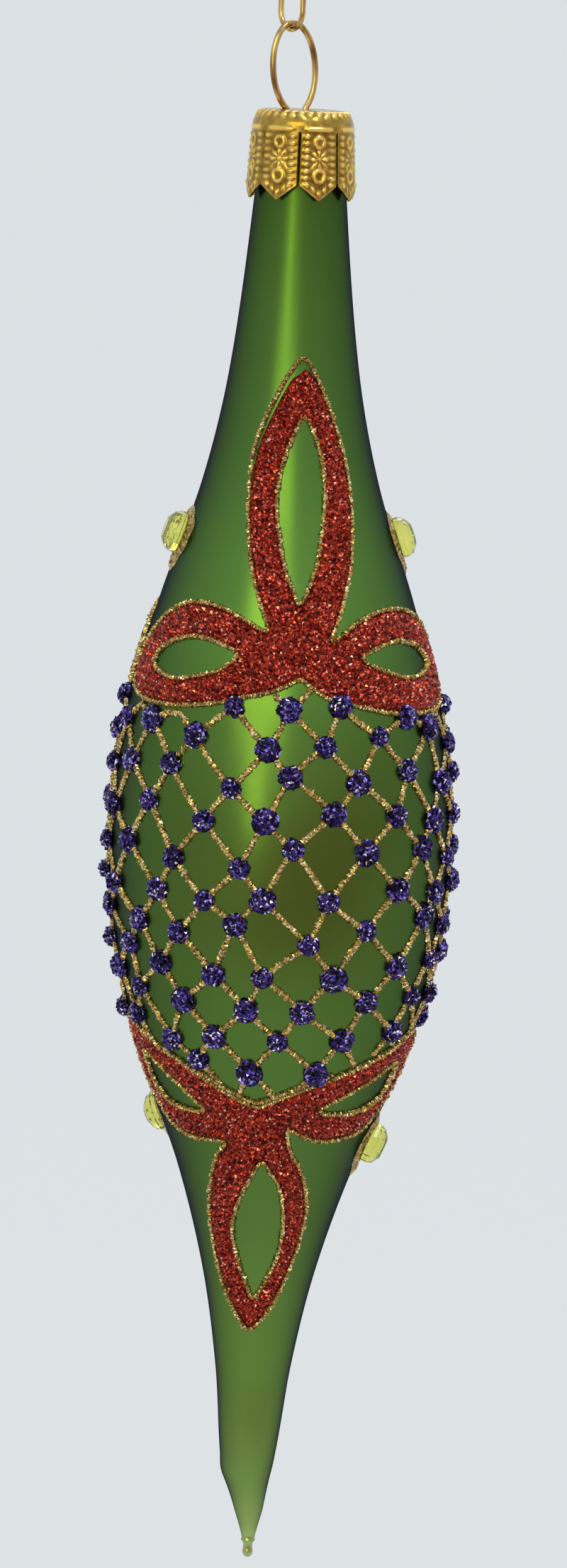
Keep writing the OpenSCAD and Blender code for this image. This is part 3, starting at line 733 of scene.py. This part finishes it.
def layCrossings():
    f = netForm
    random = np.random.RandomState(f["seed"])
    step = 360 / f["columns"]
    sway, drop = f["uneven"]
    crossings, bare = {}, set()
    for row in range(-1, f["rows"] + 1):
        half = 0.5 if row % 2 == 0 else 0
        for column in range(f["columns"]):
            turn = wrapped(f["turn"] + f["twist"] * (row - 1) + (column + half) * step)
            depth = f["start"] + f["pitch"] * row
            shift = random.uniform(-1, 1, 2)
            crossings[row, column] = [turn + sway * shift[0], depth + drop * shift[1]]
            if abs(turn) < f["laidWithin"]:
                bare.add((row, column))
        if 0 <= row < f["rows"]:
            for turn, depth in f["laid"][row]:
                nearest = min(range(f["columns"]), key=lambda c: abs(wrapped(crossings[row, c][0] - turn)))
                crossings[row, nearest] = [turn, depth]
                bare.discard((row, nearest))
    return crossings, bare


crossings, bareCrossings = layCrossings()


def hasDot(row, column):
    f = netForm
    if not 0 <= row < f["rows"] or (row, column) in bareCrossings:
        return False
    turn, depth = crossings[row, column]
    room = f["dotWidth"] / 2 + f["dotRoom"]
    return netTop(turn) + room - f["dotOverlap"] < depth < netBottom(turn) - room + f["dotOverlap"]


def buildNet(side, name, seed):
    f = netForm
    random = np.random.RandomState(seed)
    room = f["lineRoom"]
    lines = Heap()
    for row in range(-1, f["rows"]):
        for column in range(f["columns"]):
            below = (column + (side > 0) - row % 2) % f["columns"]  # rows are set off by half a step
            if not (hasDot(row, column) or hasDot(row + 1, below)):
                continue
            start, end = crossings[row, column], crossings[row + 1, below]
            t = np.linspace(0, 1, f["linePoints"])
            turns = start[0] + wrapped(end[0] - start[0]) * t
            depths = start[1] + (end[1] - start[1]) * t
            # the line was piped by hand
            depths = depths + np.sin(t * math.pi) * random.uniform(-f["lineBend"], f["lineBend"])
            shown = np.array([netTop(a) + room < d < netBottom(a) - room for a, d in zip(turns, depths)])
            if shown.sum() < f["leastPoints"]:
                continue
            path = np.stack([turns[shown], depths[shown]], axis=1)
            lines.add(*glitterBead(random, path, *f["line"], False))
    addPiece(f"net_{name}", *lines.all(), glitter["gold glitter"], "glass", "gold_glitter",
             [f"net_lines_{name}"], flakes=random)


buildNet(1, "rightward", 51)
buildNet(-1, "leftward", 52)
print("net done")


dotForm = {
    "height": 1.25,
    "seat": 0.1,
    "kinds": 8,
    "flakes": 165,
    "footFlakes": 22,
    "sunk": -0.12,
    "twist": 0.25,
    "rough": (-0.2, 0.08),
    "widths": (0.8, 1.08),
    "ovals": (0.95, 1.05),
    "heights": (0.85, 1.08),
    "seed": 61,
}


def flakyDome(random):
    # a dome of coarse flakes, with a radius and a height of one
    f = dotForm
    count, foot = f["flakes"], f["footFlakes"]
    k = np.arange(count) + 0.5
    high = 1 - k / count
    turn = k * math.pi * (3 - math.sqrt(5)) + random.uniform(-f["twist"], f["twist"], count)
    flat = np.sqrt(1 - high**2)
    points = np.stack([flat * np.cos(turn), flat * np.sin(turn), high], axis=1)
    a = np.linspace(0, 2 * math.pi, foot, endpoint=False) + random.uniform(0, 1)
    points = np.concatenate([points, np.stack([np.cos(a), np.sin(a), np.full(foot, f["sunk"])], axis=1)])
    work = bmesh.new()
    for p in points:
        work.verts.new(p)
    bmesh.ops.convex_hull(work, input=work.verts)
    hull, faces = takeMesh(work)
    hull *= (1 + random.uniform(*f["rough"], len(hull)))[:, None]
    return hull, faces


def buildDots():
    f = dotForm
    random = np.random.RandomState(f["seed"])
    domes = [flakyDome(random) for _ in range(f["kinds"])]
    for row in range(netForm["rows"]):
        dots = Heap()
        for column in range(netForm["columns"]):
            if not hasDot(row, column):
                continue
            turn, depth = crossings[row, column]
            hull, faces = domes[random.randint(len(domes))]
            wide = netForm["dotWidth"] / 2 * random.uniform(*f["widths"])
            oval = wide * random.uniform(*f["ovals"])
            size = np.array([oval, wide, f["height"] * random.uniform(*f["heights"])])
            spin = random.uniform(0, 2 * math.pi)
            c, s = math.cos(spin), math.sin(spin)
            spun = hull @ np.array([[c, s, 0], [-s, c, 0], [0, 0, 1]]) * size * mm
            dots.add(setOnGlass(spun, turn, depth, f["seat"]), faces)
        addPiece(f"dots_row_{row + 1}", *dots.all(), glitter["violet glitter"], "glass", "violet_glitter",
                 [f"violet_dots_row_{row + 1}"], flakes=random)


buildDots()
print("dots done")


stoneForm = {
    "places": {"upper_left": (-84, 48.2), "upper_right": (96, 48.2), "lower_left": (-106, 116.2),
               "lower_right": (85, 118.2)},
    "across": 4.9,
    "girdle": 0.7,
    "crown": 1.3,
    "seat": 0.3,
    "facets": 12,
    "worn": 0.035,
    "bedMargin": 0.95,
    "bedCorners": 26,
    "bedUneven": (-0.07, 0.05),
    "bedRun": 0.8,
    "bedFlake": 0.3,
    "bedHeight": 0.42,
    # the bed's flakes stop short of the brightest golds: painted shade
    "bedBrightest": 0.72,
    "seed": 71,
}


def buildStone(name, turn, depth, seed):
    f = stoneForm
    random = np.random.RandomState(seed)
    # share of the width, height, and share of a facet that the corners are turned by
    tiers = [(0.97, 0.0, 0), (1.0, 0.25, 0), (1.0, f["girdle"], 0),
             (0.86, f["girdle"] + 0.55 * f["crown"], 0.5), (0.52, f["girdle"] + f["crown"], 0)]
    work = bmesh.new()
    for share, z, turned in tiers:
        r = share * f["across"] / 2
        for i in range(f["facets"]):
            a = 2 * math.pi * (i + turned) / f["facets"]
            work.verts.new((r * math.cos(a) * mm, r * math.sin(a) * mm, z * mm))
    bmesh.ops.convex_hull(work, input=work.verts)
    bmesh.ops.dissolve_limit(work, angle_limit=0.02, verts=work.verts, edges=work.edges)
    bmesh.ops.bevel(work, geom=list(work.edges), offset=f["worn"] * mm, segments=1, affect="EDGES")
    points, faces = takeMesh(work)
    addPiece(f"{name}_gem", setOnGlass(points, turn, depth, f["seat"]), faces, stoneGlass, "glass",
             "chartreuse_stone", [f"{name}_stone"])
    # bed of gold glitter, laid on thick and uneven, its flakes kept to the darker golds as painted shade
    a = np.linspace(0, 2 * math.pi, f["bedCorners"], endpoint=False)
    reach = (f["across"] / 2 + f["bedMargin"]) * (1 + random.uniform(*f["bedUneven"], f["bedCorners"]))
    reach += f["bedRun"] * np.maximum(0, np.sin(a)) ** 6  # glue that ran down a little
    outline = np.stack([reach * np.cos(a), depth + reach * np.sin(a)], axis=1)
    bed = closedCurve(outline, f["bedFlake"])
    addPiece(f"{name}_gem_bed", *glitterCrust(random, [bed], turn, f["bedFlake"], f["bedHeight"]),
             glitter["gold glitter"], "glass", "gold_glitter", [f"{name}_stone_bed"], flakes=random,
             paintedShadeTop=f["bedBrightest"])


for count, (name, (turn, depth)) in enumerate(stoneForm["places"].items()):
    buildStone(name, turn, depth, stoneForm["seed"] + count)
print("stones done")


capForm = {
    "height": 10.1,
    "shoulder": 11.6,
    "tip": 12.6,
    "shoulderRound": 1.9,
    "sheet": 0.3,
    "petals": 8,
    "firstSlit": -3.0,
    "slits": [0.26, 0.26, 0.2, 0.22, 0.26, 0.2, 0.22, 0.06],  # mm, from the front one round to the right
    "band": 2.4,
    "point": 1.7,
    "columns": 46,
    "petalRows": 80,
    "roundRows": 16,
    "bandRows": 6,
    "slotTurn": 35.0,
    "slotReach": 2.15,
    "slotWidth": 1.12,
    "topPoints": 500,
    "spring": 0.12,  # each petal is slightly flat and springs out
    "seed": 81,
}
# What is stamped into the cap: heights, places and widths in mm
stampForm = {
    "scallops": {"height": 0.2, "at": 0.45, "width": 0.3, "toPetal": 4},
    "rope": {"height": 0.17, "at": 2.05, "width": 0.2},
    "bars": {"height": 0.2, "first": 0.5, "pitch": 0.78, "at": 1.7, "width": 0.4},
    "beads": {"height": 0.18, "pitch": 0.74, "at": 0.62, "width": 0.26, "within": 2.0},
    "rim": {"height": 0.06, "width": 0.18},
    "rings": {"height": 0.2, "width": 0.17, "places": ((1.15, 0.6), (4.95, 0.66))},
    "rosette": {"height": 0.22, "at": 3.05, "radius": 0.72, "width": 0.4, "leaves": 8, "turn": 0.4},
    "boss": {"height": 0.16, "width": 0.2},
    "studs": {"height": 0.1, "at": (0.85, 4.1), "width": 0.3},
}
capLow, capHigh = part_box("crown_cap")
capAxis = ((capLow.x + capHigh.x) / 2, (capLow.y + capHigh.y) / 2)


def capRadius(d):
    f = capForm
    bend, flare = f["shoulderRound"], (f["tip"] - f["shoulder"]) / 2
    rounded = np.sqrt(np.maximum(0, bend**2 - (bend - np.minimum(d, bend)) ** 2))
    rounded = f["shoulder"] / 2 - bend + rounded
    straight = f["shoulder"] / 2 + flare * (d - bend) / (f["height"] - bend)
    return np.where(d < bend, rounded, straight)


def wave(x):
    return 0.5 + 0.5 * np.cos(x)


def petalRelief(p, q, edge):
    # p across from the petal's middle, q below the band, edge to the cut end, all mm
    bars, beads, rim, rings, rosette, boss, studs = (
        stampForm[k] for k in ("bars", "beads", "rim", "rings", "rosette", "boss", "studs"))
    relief = (bars["height"] * wave(2 * math.pi * (q - bars["first"]) / bars["pitch"]) ** 1.3
              * hill(np.abs(p) - bars["at"], bars["width"]) * np.clip(edge / 0.6, 0, 1))
    relief += (beads["height"] * hill(edge - beads["at"], beads["width"])
               * wave(2 * math.pi * p / beads["pitch"]) * (np.abs(p) < beads["within"]))
    relief += rim["height"] * hill(edge, rim["width"])
    for centre, radius in rings["places"]:
        relief += rings["height"] * hill(np.hypot(p, q - centre) - radius, rings["width"])
    down = q - rosette["at"]
    away, turn = np.hypot(p, down), np.arctan2(down, p)
    relief += (rosette["height"] * hill(away - rosette["radius"], rosette["width"])
               * wave(rosette["leaves"] * turn + rosette["turn"]) ** 1.4
               + boss["height"] * hill(away, boss["width"]))
    across, low = studs["at"]
    relief += studs["height"] * hill(np.hypot(np.abs(p) - across, q - low), studs["width"])
    return relief


def buildCap():
    f, scallops, ropes = capForm, stampForm["scallops"], stampForm["rope"]
    work = bmesh.new()
    # relief kept on each point darkens the gilt in the hollows and lightens it on the high places: painted
    # shade and painted highlight
    height = work.verts.layers.float.new("relief")
    random = np.random.RandomState(f["seed"])
    count, columns, bend = f["petals"], f["columns"], f["shoulderRound"]
    top = f["shoulder"] / 2 - bend
    sector = 2 * math.pi / count
    u = np.linspace(0, 1, columns + 1)
    aside = np.abs(2 * u - 1)  # from the middle of a petal to its sides
    bandDepth = np.concatenate([bend * (1 - np.cos(np.linspace(0.0, math.pi / 2, f["roundRows"]))),
                                np.linspace(bend, f["band"], f["bandRows"] + 1)[1:]])

    def put(x, y, z, relief):
        vert = work.verts.new((capAxis[0] + x * mm, capAxis[1] + y * mm, capHigh.z + z * mm))
        vert[height] = relief
        return vert

    for k in range(count):
        start = math.radians(f["firstSlit"]) + k * sector
        cut, cutEnd = (f["slits"][(k + i) % count] / f["shoulder"] for i in (0, 1))  # half a slit, radians
        grid = []
        for d in bandDepth:
            a = start + sector * u
            scallop = scallops["height"] * min(1, d / 0.2) * hill(d - scallops["at"], scallops["width"])
            scallop = scallop * wave(scallops["toPetal"] * (a - start) * count) ** 1.3
            rope = ropes["height"] * hill(d - ropes["at"], ropes["width"])
            rope = rope * np.clip((0.8 - aside) / 0.25, 0, 1)
            lean = max(0.0, 1 - d / bend)  # how much the sheet faces up here
            r = capRadius(np.array(d)) + (scallop + rope) * math.sqrt(max(0, 1 - lean**2))
            grid.append((a, r, -d + scallop * lean, 0.1 + 4.4 * (scallop + rope)))
        for i in range(1, f["petalRows"] + 1):
            v = i / f["petalRows"]
            a = start + cut + (sector - cut - cutEnd) * u
            p = (u - 0.5) * sector * f["tip"] / 2
            reach = f["height"] - f["point"] * aside  # the pointed end
            d = f["band"] + (reach - f["band"]) * v
            edge = (reach - d) * 0.81
            bulge = f["spring"] * (1 - (2 * u - 1) ** 2) * v
            relief = petalRelief(p, d - f["band"], edge) * np.clip((1 - aside) / 0.06, 0, 1)
            # the stamping is worn and came out weaker in places
            relief *= 0.8 + 0.35 * np.sin(2.1 * p + 1.7 * d + 2.4 * k) * np.sin(1.3 * d - 2.7 * p + 1.1 * k)
            grid.append((a, capRadius(d) + relief - bulge * 0.6, -d, 4.2 * relief))
        verts = []
        for a, r, z, relief in grid:
            r, z, relief = (np.broadcast_to(v, a.shape) for v in (r, z, relief))
            verts.append([put(*v) for v in zip(r * np.sin(a), -r * np.cos(a), z, relief)])
        for i in range(len(grid) - 1):
            for j in range(columns):
                work.faces.new((verts[i][j], verts[i][j + 1], verts[i + 1][j + 1], verts[i + 1][j]))
    # flat top with the slot for the wire
    a = np.array([math.radians(f["firstSlit"]) + i * sector / columns for i in range(count * columns)])
    rim = np.stack([top * np.sin(a), -top * np.cos(a)], axis=1)
    s = np.linspace(-math.pi / 2, math.pi / 2, 12)
    half = f["slotWidth"] / 2
    end = np.stack([f["slotReach"] + half * np.cos(s), half * np.sin(s)], axis=1)
    slot = np.concatenate([end, -end])
    c, w = math.cos(math.radians(f["slotTurn"])), math.sin(math.radians(f["slotTurn"]))
    slot = slot @ np.array([[c, w], [-w, c]])
    flat = random.uniform(-top, top, (f["topPoints"], 2))
    free = np.hypot(flat[:, 0], flat[:, 1]) < top - 0.25
    for room in (-0.2, 0.2):
        free &= ~inLoop(flat, inset(slot, room))
    points, faces = fillLoops([rim, slot], flat[free])
    made = [put(x, y, 0, 0.2) for x, y in points]
    for face in faces:
        work.faces.new([made[i] for i in face])
    bmesh.ops.remove_doubles(work, verts=work.verts, dist=0.004 * mm)
    bmesh.ops.recalc_face_normals(work, faces=work.faces)
    heights = np.array([v[height] for v in work.verts], np.float32)
    points, faces = takeMesh(work)
    cap = addPiece("gilt_cap", points, faces, gild["stamped gilt"], "hanger", "cap_gold", ["crown_cap"],
                   flat=False)
    cap.data.attributes.new("relief", "FLOAT", "POINT").data.foreach_set("value", heights)
    sheet = cap.modifiers.new("sheet", "SOLIDIFY")
    sheet.thickness = f["sheet"] * mm
    sheet.offset = -1


buildCap()
print("cap done")


wireForm = {
    "linkWire": 0.66, "linkWidth": 4.3, "linkHeight": 7.4,
    "eyeWire": 0.72, "eyeWidth": 5.8, "eyeHeight": 10.2, "footGap": 2.3,
    "lean": 7.0, "shift": 1.0, "turn": 35.0,
    "legLength": 18.0, "legSpread": 6.6,
    "linkStep": 0.14, "eyeStep": 0.16,
    "uneven": 0.035,
    "sides": 20,
}


def tube(path, radius, sides, closed, across):
    # path in metres; across is the direction that one side of the wire keeps to
    p = np.array(path, float)
    along = (np.roll(p, -1, axis=0) - np.roll(p, 1, axis=0)) if closed else np.gradient(p, axis=0)
    along /= np.linalg.norm(along, axis=1)[:, None]
    side = np.cross(along, across)
    side /= np.linalg.norm(side, axis=1)[:, None]
    other = np.cross(side, along)
    a = np.linspace(0, 2 * math.pi, sides, endpoint=False)[None, :, None]
    r = np.broadcast_to(np.asarray(radius, float).reshape(-1, 1, 1), (len(p), 1, 1))
    points = p[:, None] + r * (np.cos(a) * side[:, None] + np.sin(a) * other[:, None])
    faces = gridFaces(len(p), sides, closedRings=closed)
    if not closed:
        faces += endFaces(len(p), sides)
    return points.reshape(-1, 3), faces


def wireThickness(random, count, diameter):
    # drawn wire is never quite even
    marks = 1 + wireForm["uneven"] * (random.random_sample(count // 6 + 3) - 0.5)
    return diameter / 2 * mm * np.interp(np.arange(count) / 6, np.arange(len(marks)), marks)


def addWire(name, line, turn, origin, diameter, closed, seed, body, node):
    # line is [across, up] in mm, in an upright plane
    flat = np.array([math.cos(turn), math.sin(turn), 0])
    path = origin + line[:, :1] * flat * mm + line[:, 1:] * np.array([0, 0, 1]) * mm
    thick = wireThickness(np.random.RandomState(seed), len(path), diameter)
    points, faces = tube(path, thick, wireForm["sides"], closed, np.array([-flat[1], flat[0], 0]))
    addPiece(name, points, faces, gild["gilt wire"], body, "gold_wire", [node], flat=False)


def buildLink():
    f = wireForm
    reach, half = (f["linkHeight"] - f["linkWidth"]) / 2, f["linkWidth"] / 2
    a = np.linspace(0, math.pi, 60)
    upper = np.stack([half * np.cos(a), reach + half * np.sin(a)], axis=1)
    outline = evenly(np.concatenate([upper, -upper]), f["linkStep"], True)
    outline[:, 1] += f["linkWire"] / 2 - f["linkHeight"] / 2
    addWire("gilt_link", outline, math.radians(f["turn"] - 90), np.zeros(3), f["linkWire"], True, 91,
            "link", "hanging_link")


def buildEye():
    f = wireForm
    end = math.pi - math.asin(f["footGap"] / f["eyeWidth"])
    centre = -f["eyeHeight"] / 2 * math.cos(end)
    reach = centre + f["eyeHeight"] / 2
    lean, turn = math.radians(f["lean"]), math.radians(f["turn"])
    foot = reach * math.sin(lean)

    def eyePoint(t):
        x, h = f["eyeWidth"] / 2 * math.sin(t), centre + f["eyeHeight"] / 2 * math.cos(t)
        return np.array([x * math.cos(lean) - h * math.sin(lean), x * math.sin(lean) + h * math.cos(lean)])

    def legPoint(side, t):
        top, low = eyePoint(side * end), np.array([f["shift"] + side * f["legSpread"] / 2, -f["legLength"]])
        ease = t * t * (3 - 2 * t)
        return np.array([top[0] + (low[0] - top[0]) * ease, top[1] + (low[1] - top[1]) * t])

    line = [legPoint(-1, t) for t in np.linspace(1, 0.02, 60)]
    line += [eyePoint(t) for t in np.linspace(-end, end, 160)]
    line += [legPoint(1, t) for t in np.linspace(0.02, 1, 60)]
    line = evenly(np.array(line), f["eyeStep"], False)
    for _ in range(6):  # the bend at the foot is rounded, as wire bends
        line[1:-1] = 0.25 * line[:-2] + 0.5 * line[1:-1] + 0.25 * line[2:]
    origin = np.array([foot * math.cos(turn) * mm, foot * math.sin(turn) * mm, capHigh.z])
    addWire("gilt_eye", line, turn, origin, f["eyeWire"], False, 92, "hanger", "hanger_wire")


buildLink()
buildEye()
print("wires done")


stageForm = {
    "floorBelow": 0.30,
    "floorReach": 60.0,
    "floorColour": (0.8, 0.82, 0.85),
    "floorRoughness": 0.9,
    "floorGlow": 0.9,
    "pale": (0.72, 0.755, 0.78),
    "floorPale": (0.745, 0.781, 0.807),
    "ambient": (0.56, 0.57, 0.59),
    "distance": 0.7,
    "pitch": 8.1,
    "roll": -2.2875,
    "aim": (0.7435, 0.0, -76.913),
    "lens": 139.088,
    "sensor": 36,
    "clip": (0.01, 200),
}


def seenDirectly(nodes, links):
    # rays from the camera, or from it by way of metal or glass
    path = nodes.new("ShaderNodeLightPath")
    seen = path.outputs["Is Camera Ray"]
    for kind in ("Is Glossy Ray", "Is Transmission Ray"):
        either = nodes.new("ShaderNodeMath")
        either.operation = "MAXIMUM"
        links.new(seen, either.inputs[0])
        links.new(path.outputs[kind], either.inputs[1])
        seen = either.outputs[0]
    return seen


def buildStage():
    f = stageForm
    world = bpy.data.worlds.new("studio")
    scene.world = world
    world.use_nodes = True
    nodes, links = world.node_tree.nodes, world.node_tree.links
    shown, fill = nodes.new("ShaderNodeBackground"), nodes["Background"]
    shown.inputs["Color"].default_value = (*f["pale"], 1)
    fill.inputs["Color"].default_value = (*f["ambient"], 1)
    mixInto(nodes, links, seenDirectly(nodes, links), fill.outputs[0], shown.outputs[0], "World Output")

    material, nodes, links, shader = newMaterial("pale floor")
    shader.inputs["Base Color"].default_value = (*f["floorColour"], 1)
    shader.inputs["Roughness"].default_value = f["floorRoughness"]
    glow = nodes.new("ShaderNodeEmission")
    glow.inputs["Color"].default_value = (*f["floorPale"], 1)
    share = nodes.new("ShaderNodeMath")
    share.operation = "MULTIPLY"
    share.inputs[1].default_value = f["floorGlow"]
    links.new(seenDirectly(nodes, links), share.inputs[0])
    mixInto(nodes, links, share.outputs[0], shader.outputs[0], glow.outputs[0], "Material Output")
    r, z = f["floorReach"], glassLow.z - f["floorBelow"]
    mesh = bpy.data.meshes.new("floor")
    mesh.from_pydata([(-r, -r, z), (r, -r, z), (r, r, z), (-r, r, z)], [], [(0, 1, 2, 3)])
    mesh.materials.append(material)
    floor = bpy.data.objects.new("floor", mesh)
    scene.collection.objects.link(floor)


# Turn and height are where a lamp stands, seen from the belly, in degrees; sizes and distances are in m
lampForm = {
    "window": {"turn": -17, "height": 24, "away": 3, "size": (1.9, 1.25), "power": 15.4,
               "colour": (1, 0.90, 0.20)},
    "windowLow": {"turn": -18, "height": 4, "away": 3, "size": (0.6, 0.74), "power": 3.7,
                  "colour": (1, 0.90, 0.20)},
    "overhead": {"turn": 35, "height": 62, "away": 1.2, "size": (0.5, 0.4), "power": 3.4,
                 "colour": (1, 0.99, 0.97)},
    "rear": {"turn": 165, "height": 45, "away": 1.4, "size": (0.8, 0.6), "power": 2.2,
             "colour": (1, 1, 1)},
}
# A brown wall in front, seen only in the glass and the gilding, placed in the same way
cardForm = {
    "away": 0.6,
    "turns": (-125, 125, 101),  # from, to, and steps
    "heights": (-38, 24, 41),
    "colour": (0.53, 0.29, 0.27),
    "patches": [  # all round, darkest ahead, and higher on the right
        {"turn": 0, "width": 95, "height": -12, "reach": 19, "cover": 0.62},
        {"turn": 16, "width": 40, "height": -16, "reach": 15, "cover": 0.42},
        {"turn": 52, "width": 42, "height": 3, "reach": 12, "cover": 0.33}],
    "gap": {"turn": -18, "width": 13, "heights": (-8, 1)},  # the window shows past the wall here
}


def facing(turn, height, away):
    # a place at a distance from the belly, and the direction to it
    belly = Vector(fromAxis(0.0, 0.0, -glassForm["bellyDepth"]))
    a, e = math.radians(turn), math.radians(height)
    out = Vector((math.sin(a) * math.cos(e), -math.cos(a) * math.cos(e), math.sin(e)))
    return belly + out * away, out


def plateau(x, width):
    return hill(x**2, width**2)


def buildCard():
    f = cardForm
    turns, heights = np.linspace(*f["turns"]), np.linspace(*f["heights"])
    turn, height = (v.ravel() for v in np.meshgrid(turns, heights))
    cover = 0
    for p in f["patches"]:
        across, upward = plateau(turn - p["turn"], p["width"]), plateau(height - p["height"], p["reach"])
        cover = cover + p["cover"] * across * upward
    gap = f["gap"]
    low, high = gap["heights"]
    opening = hill(turn - gap["turn"], gap["width"]) * np.clip((height - low) / (high - low), 0, 1)
    cover = np.clip(cover, 0, 1) * (1 - opening)
    mesh = bpy.data.meshes.new("card")
    mesh.from_pydata([facing(a, e, f["away"])[0] for a, e in zip(turn, height)], [],
                     gridFaces(len(heights), len(turns), closedAround=False))
    mesh.attributes.new("cover", "FLOAT", "POINT").data.foreach_set("value", cover.astype(np.float32))
    material, nodes, links, _ = newMaterial("brown wall")
    glow, clear = nodes.new("ShaderNodeEmission"), nodes.new("ShaderNodeBsdfTransparent")
    glow.inputs["Color"].default_value = (*f["colour"], 1)
    mixInto(nodes, links, attribute(nodes, "cover"), clear.outputs[0], glow.outputs[0], "Material Output")
    mesh.materials.append(material)
    card = bpy.data.objects.new("card", mesh)
    card.visible_camera = False
    card.visible_diffuse = False
    card.visible_shadow = False
    scene.collection.objects.link(card)


def buildLamps():
    for name, f in lampForm.items():
        place, out = facing(f["turn"], f["height"], f["away"])
        lamp = bpy.data.lights.new(name, "AREA")
        lamp.shape = "RECTANGLE"
        lamp.size, lamp.size_y = f["size"]
        lamp.energy = f["power"]
        lamp.color = f["colour"]
        holder = bpy.data.objects.new(name, lamp)
        holder.location = place
        holder.rotation_euler = (-out).to_track_quat("-Z", "Y").to_euler()
        holder.visible_camera = False
        scene.collection.objects.link(holder)


def buildCamera():
    f = stageForm
    pitch, roll = math.radians(f["pitch"]), math.radians(f["roll"])
    ahead = Vector((0, math.cos(pitch), -math.sin(pitch)))
    right = Vector((1, 0, 0))
    up = right.cross(ahead)
    turnedRight = right * math.cos(roll) - up * math.sin(roll)
    turnedUp = right * math.sin(roll) + up * math.cos(roll)
    aim = Vector(fromAxis(*f["aim"]))
    data = bpy.data.cameras.new("camera")
    data.sensor_fit = "AUTO"
    data.sensor_width = f["sensor"]
    data.lens = f["lens"]
    data.clip_start, data.clip_end = f["clip"]
    camera = bpy.data.objects.new("camera", data)
    place = Matrix((turnedRight, turnedUp, -ahead)).transposed().to_4x4()
    place.translation = aim - ahead * f["distance"]
    camera.matrix_world = place
    scene.collection.objects.link(camera)
    scene.camera = camera


buildStage()
buildCard()
buildLamps()
buildCamera()
print("stage, lamps and camera done")
